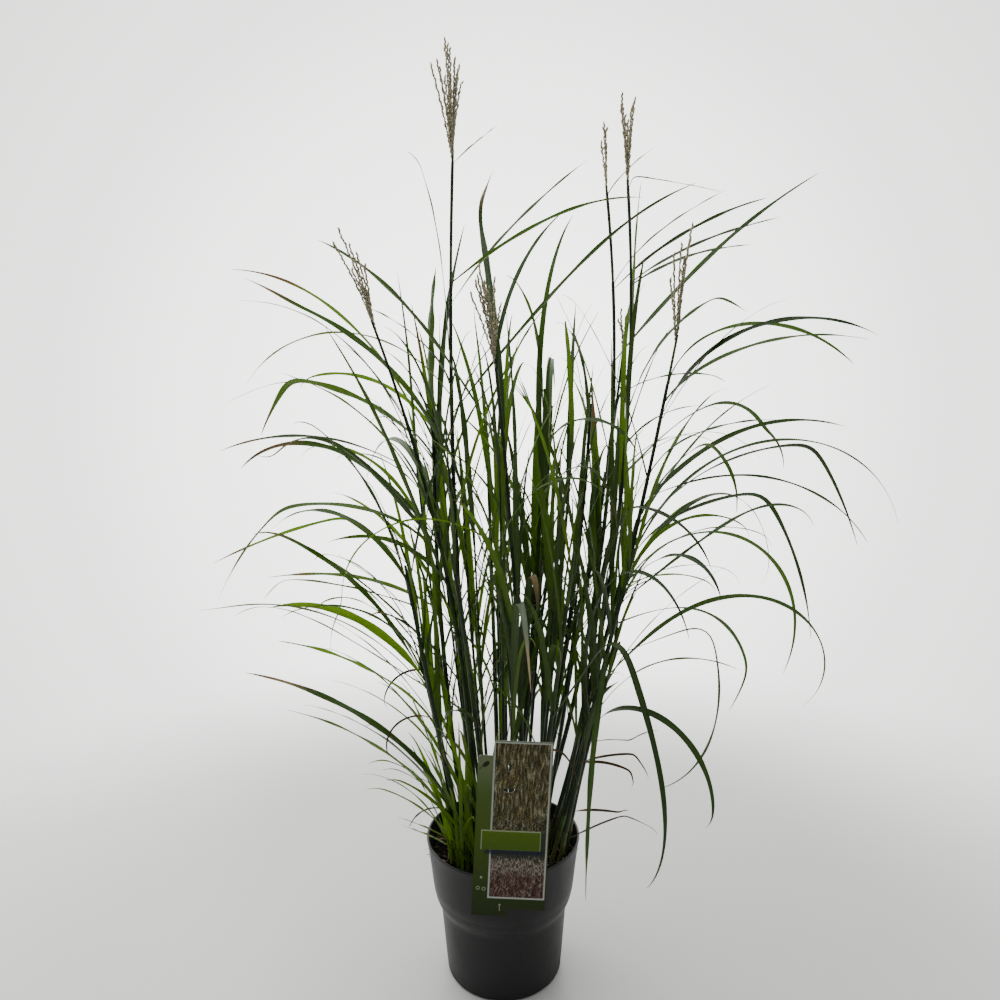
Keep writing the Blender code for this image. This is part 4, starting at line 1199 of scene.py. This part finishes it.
def buildSoil():
    peat = earthMaterial("peat", soilLook["wet"], soilLook["peat"], 0.95)
    sides, rings = soilLook["sides"], soilLook["rings"]
    points, faces = [Vector((0.0, 0.0, soilHeight(0, 0)))], []
    for ring in range(1, rings + 1):
        radius = soilLook["radius"] * ring / rings
        for side in range(sides):
            angle = 2 * math.pi * side / sides
            x, y = radius * math.cos(angle), radius * math.sin(angle)
            points.append(Vector((x, y, soilHeight(x, y))))
    for radius, height in ((0.0998, 0.150), (0.0946, 0.115), (0.0872, 0.100), (0.0762, 0.0110),
                           (0.0735, 0.0056)):
        for side in range(sides):
            angle = 2 * math.pi * side / sides
            points.append(Vector((radius * math.cos(angle), radius * math.sin(angle), height)))
    for side in range(sides):
        faces.append((0, 1 + side, 1 + (side + 1) % sides))
    for ring in range(rings + 4):
        low = 1 + ring * sides
        for side in range(sides):
            after = (side + 1) % sides
            faces.append((low + side, low + sides + side, low + sides + after, low + after))
    last = 1 + (rings + 4) * sides
    faces.append(tuple(last + side for side in reversed(range(sides))))
    soil = newPiece("peatBall", points, faces, peat, 80)
    tree = scatterTree()
    chipPaint = earthMaterial("barkChip", soilLook["chipDark"], soilLook["chipPale"], 0.85)
    fibrePaint = earthMaterial("drySoilFibre", soilLook["chipDark"], soilLook["fibre"], 0.80)
    kinds = (
        ("peatCrumbs", buildTemplateGrain("crumb", (0.0022, 0.0018, 0.0014), 0.30, 1), peat, 150000, 0.3,
         1.0, 0.0),
        ("peatLumps", buildTemplateGrain("lump", (0.0052, 0.0042, 0.0034), 0.35, 2, 2), peat, 15000, 0.35,
         1.0, 0.0),
        ("barkChips", buildTemplateGrain("chip", (0.0105, 0.0034, 0.0013), 0.22, 3), chipPaint, 3800, 0.25,
         1.15, 1.0),
        ("soilFibres", buildFibre("fibre", 4), fibrePaint, 5200, 0.5, 1.5, 1.0),
    )
    for order, (name, grainShape, paint, density, smallest, largest, lying) in enumerate(kinds):
        piece = grow(name, soil, tree, {
            "Grain": grainShape, "Density": float(density), "Smallest": smallest, "Largest": largest,
            "Reach": soilLook["radius"] - 0.006, "Lying": lying, "Seed": soilLook["seed"] + 10 * order,
            "Material": paint})
        dropTemplates(grainShape)
        finishPiece(piece, "peat")
    finishPiece(soil, "peat", "soil")
    buildLongChips(chipPaint)


# Plant label: sizes in millimetres on the card, from its lower left corner

labelLook = {"width": 94.0, "height": 235.0, "sheet": 0.0006, "footX": -0.042, "footHeight": 0.147,
             "tilt": 3.2,
             "backY": -0.1092, "tongue": 0.032, "bow": 0.0012,
             "green": (0.055, 0.092, 0.004), "darkGreen": (0.016, 0.027, 0.004),
             "paleGreen": (0.15, 0.185, 0.090),
             "border": (0.42, 0.44, 0.40), "band": (0.080, 0.140, 0.006), "cardBack": (0.60, 0.62, 0.56)}


def boxMask(tree, u, v, left, right, low, high, soft=0.3):
    inside = calc(tree, "SUBTRACT", smooth(tree, u, left - soft, left + soft),
                  smooth(tree, u, right - soft, right + soft))
    level = calc(tree, "SUBTRACT", smooth(tree, v, low - soft, low + soft),
                 smooth(tree, v, high - soft, high + soft))
    return calc(tree, "MULTIPLY", inside, level)


def spotMask(tree, u, v, middle, radii, turn=0.0, hole=0.0):
    across, along = calc(tree, "SUBTRACT", u, middle[0]), calc(tree, "SUBTRACT", v, middle[1])
    c, s = math.cos(turn), math.sin(turn)
    first = calc(tree, "DIVIDE", calc(tree, "MULTIPLY_ADD", across, c, calc(tree, "MULTIPLY", along, s)),
                 radii[0])
    other = calc(tree, "DIVIDE", calc(tree, "MULTIPLY_ADD", across, -s, calc(tree, "MULTIPLY", along, c)),
                 radii[1])
    away = calc(tree, "SQRT", calc(tree, "MULTIPLY_ADD", first, first,
                                   calc(tree, "MULTIPLY", other, other)))
    disc = calc(tree, "SUBTRACT", 1.0, smooth(tree, away, 0.85, 1.1))
    return disc if hole == 0 else calc(tree, "MULTIPLY", disc, smooth(tree, away, hole - 0.1, hole + 0.1))


def pictureGroup():  # two invented pictures of grasses
    group = newGroup("grassPictures", (("Upper", colourKind), ("Lower", colourKind)))
    u, v = uvParts(group, "print")[1:]
    across, along = calc(group, "MULTIPLY", u, 23.5), calc(group, "MULTIPLY", v, 23.5)
    flow = addNode(group, "ShaderNodeCombineXYZ", {0: across, 1: along}).outputs[0]
    bent = calc(group, "MULTIPLY_ADD", grain(group, flow, 0.32, 1.0), 1.1, across)
    bent = addNode(group, "ShaderNodeCombineXYZ", {0: bent, 1: along}).outputs[0]
    heads = calc(group, "MULTIPLY_ADD", grain(group, bent, 2.5, 3.0, 0.6, (1.5, 0.24, 1.0)), 0.62,
                 calc(group, "MULTIPLY", grain(group, bent, 8.0, 3.0, 0.65, (1.1, 0.6, 1.0)), 0.38))
    leaning = addNode(group, "ShaderNodeMapping", {"Vector": flow, "Rotation": (0.0, 0.0, 0.6)}).outputs[0]
    slanted = {"Vector": flow, "Rotation": (0.0, 0.0, -0.7)}
    crossing = addNode(group, "ShaderNodeMapping", slanted).outputs[0]
    strokes = calc(group, "MAXIMUM", smooth(group, grain(group, leaning, 4.5, 2.0, 0.5, (2.4, 0.25, 1.0)),
                                            0.60, 0.67),
                   smooth(group, grain(group, crossing, 4.5, 2.0, 0.5, (2.4, 0.25, 1.0)), 0.61, 0.68))
    upper = ramp(group, heads, ((0.38, (0.010, 0.013, 0.004)), (0.46, (0.045, 0.042, 0.013)),
                                (0.53, (0.115, 0.102, 0.046)), (0.62, (0.38, 0.36, 0.24))))
    rusty = smooth(group, grain(group, flow, 0.8, 3.0, 0.5, (1.0, 0.5, 1.0)), 0.50, 0.64)
    upper = mixColour(group, rusty, upper, mixColour(group, 1.0, upper, (1.02, 0.86, 0.60), "MULTIPLY"))
    bottom = calc(group, "SUBTRACT", 1.0, smooth(group, along, 12.0, 14.8))
    upper = mixColour(group, calc(group, "MULTIPLY", bottom, 0.8), upper,
                      mixColour(group, 1.0, upper, (0.42, 0.42, 0.30), "MULTIPLY"))
    upper = mixColour(group, calc(group, "MULTIPLY", strokes,
                                  calc(group, "MULTIPLY_ADD", bottom, 0.60, 0.10)), upper,
                      (0.50, 0.46, 0.35))
    ragged = calc(group, "MULTIPLY_ADD", grain(group, bent, 4.2, 3.0, 0.6, (1.4, 0.30, 1.0)), 4.4,
                  calc(group, "SUBTRACT", along, 2.2))
    stems = ramp(group, grain(group, bent, 5.0, 2.0, 0.5, (1.8, 0.10, 1.0)),
                 ((0.36, (0.012, 0.006, 0.004)), (0.5, (0.050, 0.021, 0.013)),
                  (0.64, (0.170, 0.092, 0.066))))
    tufts = ramp(group, grain(group, bent, 6.0, 3.0, 0.6, (1.4, 0.35, 1.0)),
                 ((0.38, (0.018, 0.015, 0.009)), (0.50, (0.100, 0.078, 0.056)), (0.62, (0.38, 0.33, 0.27))))
    lower = mixColour(group, smooth(group, ragged, 5.2, 6.4), stems, tufts)
    lower = mixColour(group, calc(group, "MULTIPLY", strokes, 0.55), lower, (0.52, 0.43, 0.39))
    lower = mixColour(group, smooth(group, ragged, 7.6, 8.1), lower, (0.026, 0.034, 0.020))
    return endGroup(group, {"Upper": upper, "Lower": lower})


def printGroup():
    group = newGroup("labelPrint", (("Colour", colourKind), ("Ink", valueKind)))
    place, u, v = uvParts(group, "print")
    u, v = calc(group, "MULTIPLY", u, 235.0), calc(group, "MULTIPLY", v, 235.0)
    pictures = useGroup(group, pictureGroup())
    colour = ramp(group, calc(group, "DIVIDE", v, 235.0),
                  ((0.0, labelLook["darkGreen"]), (0.16, (0.026, 0.046, 0.005)), (0.45, labelLook["green"]),
                   (0.70, (0.070, 0.115, 0.022)), (0.88, labelLook["paleGreen"])))
    leaf = spotMask(group, u, v, (10.5, 203.5), (5.2, 3.0), 0.75)
    stalk = boxMask(group, calc(group, "MULTIPLY_ADD", v, -0.8, u), v, -155.2, -154.0, 196.0, 203.0)
    colour = mixColour(group, limited(group, calc(group, "ADD", leaf, stalk)), colour,
                       labelLook["darkGreen"])
    colour = mixColour(group, boxMask(group, u, v, 19.5, 92.6, 24.0, 233.6), colour, labelLook["border"])
    colour = mixColour(group, boxMask(group, u, v, 21.6, 90.6, 90.0, 231.6), colour,
                       pictures.outputs["Upper"])
    colour = mixColour(group, boxMask(group, u, v, 21.6, 90.6, 26.2, 90.0), colour,
                       pictures.outputs["Lower"])
    colour = mixColour(group, boxMask(group, u, v, 78.0, 90.6, 88.0, 115.0, 1.0), colour,
                       (0.030, 0.038, 0.020))
    shadow = boxMask(group, u, v, 13.0, 88.0, 84.0, 92.0, 2.2)
    colour = mixColour(group, calc(group, "MULTIPLY", shadow, 0.85), colour, (0.012, 0.016, 0.028))
    colour = mixColour(group, boxMask(group, u, v, 8.0, 84.0, 90.0, 116.5), colour, (0.30, 0.36, 0.20))
    bandTone = mixColour(group, smooth(group, v, 90.0, 118.0), (0.060, 0.110, 0.004), labelLook["band"])
    colour = mixColour(group, boxMask(group, u, v, 9.2, 83.2, 90.0, 114.8), colour, bandTone)
    marks = calc(group, "MAXIMUM", spotMask(group, u, v, (7.0, 37.5), (2.6, 2.6), 0.0, 0.62),
                 spotMask(group, u, v, (14.5, 36.5), (2.6, 2.6), 0.0, 0.62))
    marks = calc(group, "MAXIMUM", marks, spotMask(group, u, v, (10.5, 52.0), (1.7, 1.7)))
    marks = calc(group, "MAXIMUM", marks, boxMask(group, u, v, 35.2, 36.2, 7.0, 15.0))
    marks = calc(group, "MAXIMUM", marks, spotMask(group, u, v, (35.7, 15.5), (1.5, 1.5)))
    colour = mixColour(group, calc(group, "MULTIPLY", marks, 0.7), colour, (0.40, 0.44, 0.32))
    back = readValue(group, "under")
    lines = boxMask(group, u, calc(group, "PINGPONG", v, 4.0), 12.0, 82.0, 0.0, 0.9)
    lines = calc(group, "MULTIPLY", lines, boxMask(group, u, v, 5.0, 90.0, 60.0, 190.0))
    plain = mixColour(group, calc(group, "MULTIPLY", lines, 0.45), labelLook["cardBack"],
                      (0.25, 0.30, 0.20))
    plain = mixColour(group, boxMask(group, u, v, -5.0, 100.0, -5.0, 30.0), plain, labelLook["green"])
    colour = mixColour(group, back, colour, plain)
    wear = smooth(group, grain(group, place, 60.0, 4.0), 0.62, 0.78)
    colour = mixColour(group, calc(group, "MULTIPLY", wear, 0.10), colour, (0.35, 0.34, 0.30))
    return endGroup(group, {"Colour": colour, "Ink": wear})


def labelMaterial():
    material, tree, shader = newMaterial("printedCard")
    look = useGroup(tree, printGroup())
    put(tree, shader.inputs["Base Color"], look.outputs["Colour"])
    put(tree, shader.inputs["Roughness"], calc(tree, "MULTIPLY_ADD", look.outputs["Ink"], 0.25, 0.34))
    shader.inputs["Specular IOR Level"].default_value = 0.14
    addBump(tree, shader, look.outputs["Ink"], 0.05, 0.0001)
    return material


def roundedOutline(corners, radii, steps=6):
    outline = []
    for index, corner in enumerate(corners):
        point = Vector(corner)
        start = point + (Vector(corners[index - 1]) - point).normalized() * radii[index]
        end = point + (Vector(corners[(index + 1) % len(corners)]) - point).normalized() * radii[index]
        for step in range(steps + 1):
            part = step / steps
            outline.append(start * (1 - part) ** 2 + point * 2 * part * (1 - part) + end * part ** 2)
    return outline


def buildLabel():
    wide, high, sheet = labelLook["width"], labelLook["height"], labelLook["sheet"]
    corners = ((0.0, 0.0), (46.0, 0.0), (46.0, 10.0), (wide, 10.0), (wide, high), (20.0, high),
               (20.0, high - 20.0),
               (0.0, high - 20.0))
    outline = roundedOutline(corners, (1.5, 1.5, 1.5, 2.5, 2.5, 2.5, 1.5, 6.0))
    moon = [(40.5 + 7.5 * math.cos(a), 172.0 + 4.8 * math.sin(a)) for a in
            (math.pi * (1 + step / 14) for step in range(15))]
    keyhole = [(40.5 + 1.7 * math.cos(a) * (1.4 if math.sin(a) > 0.2 else 1.0),
                200.0 + 5.5 * math.sin(a)) for a in
               (2 * math.pi * step / 20 for step in range(20))]
    card = bmesh.new()
    card.faces.new([card.verts.new((point[0], 0.0, point[1])) for point in outline])
    for step in range(1, 12):
        bmesh.ops.bisect_plane(card, geom=list(card.verts) + list(card.edges) + list(card.faces),
                               plane_co=(wide * step / 12, 0, 0), plane_no=(1, 0, 0))
    for step in range(1, 20):
        bmesh.ops.bisect_plane(card, geom=list(card.verts) + list(card.edges) + list(card.faces),
                               plane_co=(0, 0, high * step / 20), plane_no=(0, 0, 1))
    grown = bmesh.ops.extrude_face_region(card, geom=list(card.faces))
    for item in grown["geom"]:
        if isinstance(item, bmesh.types.BMVert):
            item.co.y += sheet * 1000
    material = labelMaterial()
    label = fromBmesh("plantLabel", card, material, 30)
    cutter = bmesh.new()
    for shape in (moon, keyhole):
        front = [cutter.verts.new((point[0], -4.0, point[1])) for point in shape]
        back = [cutter.verts.new((point[0], 4.0, point[1])) for point in shape]
        cutter.faces.new(front)
        cutter.faces.new(list(reversed(back)))
        for side in range(len(shape)):
            after = (side + 1) % len(shape)
            cutter.faces.new((front[side], front[after], back[after], back[side]))
    label = applied(label, (fromBmesh("slots", cutter, material),))
    mesh = label.data
    uvLayer = mesh.uv_layers.new(name="print")
    for loop in mesh.loops:
        spot = mesh.vertices[loop.vertex_index].co
        uvLayer.data[loop.index].uv = (spot.x / 235.0, spot.z / 235.0)
    mesh.attributes.new("under", "FLOAT", "FACE").data.foreach_set(
        "value", [0.0 if face.normal.y < -0.5 else 1.0 for face in mesh.polygons])
    place = Matrix.Translation((labelLook["footX"], 0.0, labelLook["footHeight"]))
    place = place @ Matrix.Rotation(math.radians(labelLook["tilt"]), 4, "Y")
    for vert in mesh.vertices:
        part = (vert.co.x / wide - 0.5) * 2
        top = vert.co.z / high
        bow = labelLook["bow"] * (1 - part ** 2) * max(0.0, top - 0.25) - 0.0006 * math.sin(7 * top) * top
        spot = place @ Vector((vert.co.x / 1000, 0.0, vert.co.z / 1000))
        vert.co = Vector((spot.x, labelLook["backY"] - sheet + vert.co.y / 1000 - abs(bow), spot.z))
    finishPiece(label, "printed_card", "plant_label")
    buildFlap(place, moon, material)
    buildTongue(material)


def buildFlap(place, moon, material):  # the half moon, cut on its curved side and pushed back
    points, faces, count = [], [], len(moon)
    hinge = moon[0][1] - 0.4
    for layer in range(2):
        for across, high in moon:
            down = hinge - high
            spot = place @ Vector((across / 1000, 0.0, (hinge - down * math.cos(0.9)) / 1000))
            points.append((spot.x, labelLook["backY"] + (0.3 + down * math.sin(0.9) + 0.4 * layer) / 1000,
                           spot.z))
    faces = [tuple(reversed(range(count))), tuple(range(count, 2 * count))]
    faces += [(side, (side + 1) % count, count + (side + 1) % count, count + side) for side in range(count)]
    flap = newPiece("labelFlap", points, faces, material, 40)
    layer = flap.data.uv_layers.new(name="print")
    for loop in flap.data.loops:
        across, high = moon[loop.vertex_index % count]
        layer.data[loop.index].uv = (across / 235.0, high / 235.0 + 0.2)
    flap.data.attributes.new("under", "FLOAT", "FACE").data.foreach_set("value", [0.0] * len(faces))
    finishPiece(flap, "printed_card")


def buildTongue(material):
    over, tip = 0.196 + 0.0008, soilTop + 0.004
    back, sheet, reach = labelLook["backY"], labelLook["sheet"], 0.0105
    middle = labelLook["footX"] + 0.050
    centre = [(back - 0.0004, over), (back + 0.004, over)]
    centre += [(back + reach - 0.003 + 0.003 * math.sin(a), over - 0.003 + 0.003 * math.cos(a))
               for a in (math.pi / 2 * step / 5 for step in range(6))]
    centre += [(back + reach, tip + 0.012), (back + reach - 0.0005, tip)]
    points, faces = [], []
    for index, (y, z) in enumerate(centre):
        ahead, before = centre[min(index + 1, len(centre) - 1)], centre[max(index - 1, 0)]
        along = Vector((ahead[0] - before[0], ahead[1] - before[1])).normalized()
        out = Vector((-along.y, along.x)) * sheet / 2
        half = labelLook["tongue"] / 2 * (1.0 if index < len(centre) - 1 else 0.8)
        for side, (x, shift) in enumerate(((-half, out), (half, out), (half, -out), (-half, -out))):
            points.append((middle + x, y + shift[0], z + shift[1]))
    for index in range(len(centre) - 1):
        for side in range(4):
            low, after = 4 * index, (side + 1) % 4
            faces.append((low + side, low + 4 + side, low + 4 + after, low + after))
    faces += [(0, 1, 2, 3), tuple(4 * (len(centre) - 1) + side for side in (3, 2, 1, 0))]
    tongue = newPiece("labelTongue", points, faces, material, 40)
    layer = tongue.data.uv_layers.new(name="print")
    for loop in tongue.data.loops:
        spot = tongue.data.vertices[loop.vertex_index].co
        layer.data[loop.index].uv = (0.2 + spot.x, 0.8 + spot.z * 0.3)
    tongue.data.attributes.new("under", "FLOAT", "FACE").data.foreach_set("value", [1.0] * len(faces))
    finishPiece(tongue, "printed_card")


# Dry strands: they stand like leaves, but are thin, curled and dead

dryStrands = (
    ("leafy_culm_12", 0.195, -14, 0.135, 34, 12, 1.6, 2.2, 120, 0.62, -38),
    ("leafy_culm_12", 0.235, -20, 0.075, 18, -6, 1.0, 3.4, 60, 0.80, 30),
    ("leafy_culm_10", 0.290, -16, 0.100, 20, -34, 1.0, 4.0, 70, 0.75, -50),
    ("leafy_culm_10", 0.320, -30, 0.120, 24, -20, 1.4, 3.2, -60, 0.60, 40),
    ("leafy_culm_09", 0.330, -36, 0.110, 30, 4, 1.2, 3.0, 80, 0.7, -60),
    ("leafy_culm_13", 0.235, 196, 0.070, 48, -70, 1.0, 2.6, 90),
    ("leafy_culm_01", 0.420, 186, 0.120, 40, -100, 1.1, 2.4, 120),
    ("leafy_culm_02", 0.390, 200, 0.100, 30, -120, 1.2, 2.2, 120),
    ("leafy_culm_06", 0.345, -60, 0.100, 60, -110, 1.0, 2.8, 100),
    ("leafy_culm_07", 0.330, 70, 0.130, 46, -80, 1.2, 3.0, 80),
    ("leafy_culm_03", 0.280, 130, 0.110, 40, -60, 1.2, 3.0, -80),
)


# Stage, light and camera

stageLook = {"floor": (0.62, 0.62, 0.605), "fadeStart": 0.55, "fadeEnd": 1.5, "worldStrength": 4.4,
             "keyPower": 24.0, "topPower": 20.0}


def buildStage():
    bpy.ops.mesh.primitive_circle_add(vertices=96, radius=2.4, fill_type="NGON", location=(0, 0, 0))
    floor = bpy.context.object
    floor.name = "floor"
    material, tree, shader = newMaterial("paleFloor")
    spot = objectPlace(tree)
    tone = grain(tree, spot, 2.5, 3.0)
    put(tree, shader.inputs["Base Color"], mixColour(tree, tone, stageLook["floor"], (0.68, 0.68, 0.665)))
    shader.inputs["Roughness"].default_value = 0.35
    away = addNode(tree, "ShaderNodeVectorMath", {0: spot}, operation="LENGTH").outputs["Value"]
    fade = smooth(tree, away, stageLook["fadeStart"], stageLook["fadeEnd"])
    clear = addNode(tree, "ShaderNodeBsdfTransparent")
    both = addNode(tree, "ShaderNodeMixShader", {0: fade, 1: shader.outputs[0], 2: clear.outputs[0]})
    tree.links.new(both.outputs[0], tree.nodes["Material Output"].inputs["Surface"])
    floor.data.materials.append(material)


def buildLight():
    world = bpy.data.worlds.new("studio")
    bpy.context.scene.world = world
    world.use_nodes = True
    tree = world.node_tree
    spot = addNode(tree, "ShaderNodeTexCoord").outputs["Generated"]
    ahead = addNode(tree, "ShaderNodeSeparateXYZ", {0: spot}).outputs[1]
    share = calc(tree, "MULTIPLY_ADD", ahead, 0.5, 0.5)
    tone = ramp(tree, share, ((0.0, (0.045, 0.047, 0.050)), (0.35, (0.12, 0.12, 0.12)),
                              (0.62, (0.26, 0.26, 0.255)),
                              (0.86, (0.44, 0.44, 0.43)), (0.93, (0.60, 0.60, 0.59)),
                              (1.0, (1.0, 1.0, 0.98))))
    back = tree.nodes["Background"]
    put(tree, back.inputs["Color"], tone)
    back.inputs["Strength"].default_value = stageLook["worldStrength"]
    for name, power, size, place in (("keyLight", stageLook["keyPower"], 1.4, (-1.5, 1.5, 1.7)),
                                     ("topLight", stageLook["topPower"], 1.2, (-0.6, -0.1, 2.4))):
        lamp = bpy.data.lights.new(name, "AREA")
        lamp.energy = power
        lamp.size = size
        item = bpy.data.objects.new(name, lamp)
        bpy.context.scene.collection.objects.link(item)
        item.location = place
        item.rotation_euler = (Vector((0.0, 0.0, 0.55)) - Vector(place)).to_track_quat("-Z", "Y").to_euler()


def buildCamera():
    lens = bpy.data.cameras.new("camera")
    lens.lens = 26.0
    lens.sensor_width = 36.0
    camera = bpy.data.objects.new("camera", lens)
    bpy.context.scene.collection.objects.link(camera)
    turn = Matrix.Rotation(math.radians(83.99), 4, "X") @ Matrix.Rotation(-0.01, 4, "Z")
    camera.matrix_world = Matrix.Translation((0.0004, -0.9766, 0.7736)) @ turn
    bpy.context.scene.camera = camera


print("pot and soil")
buildPot()
buildSoil()
print("label")
buildLabel()
print("grass")
buildGrass(bladeMaterial(), culmMaterial())
print("flower heads")
buildPlumes()
print("stage")
buildStage()
buildLight()
buildCamera()
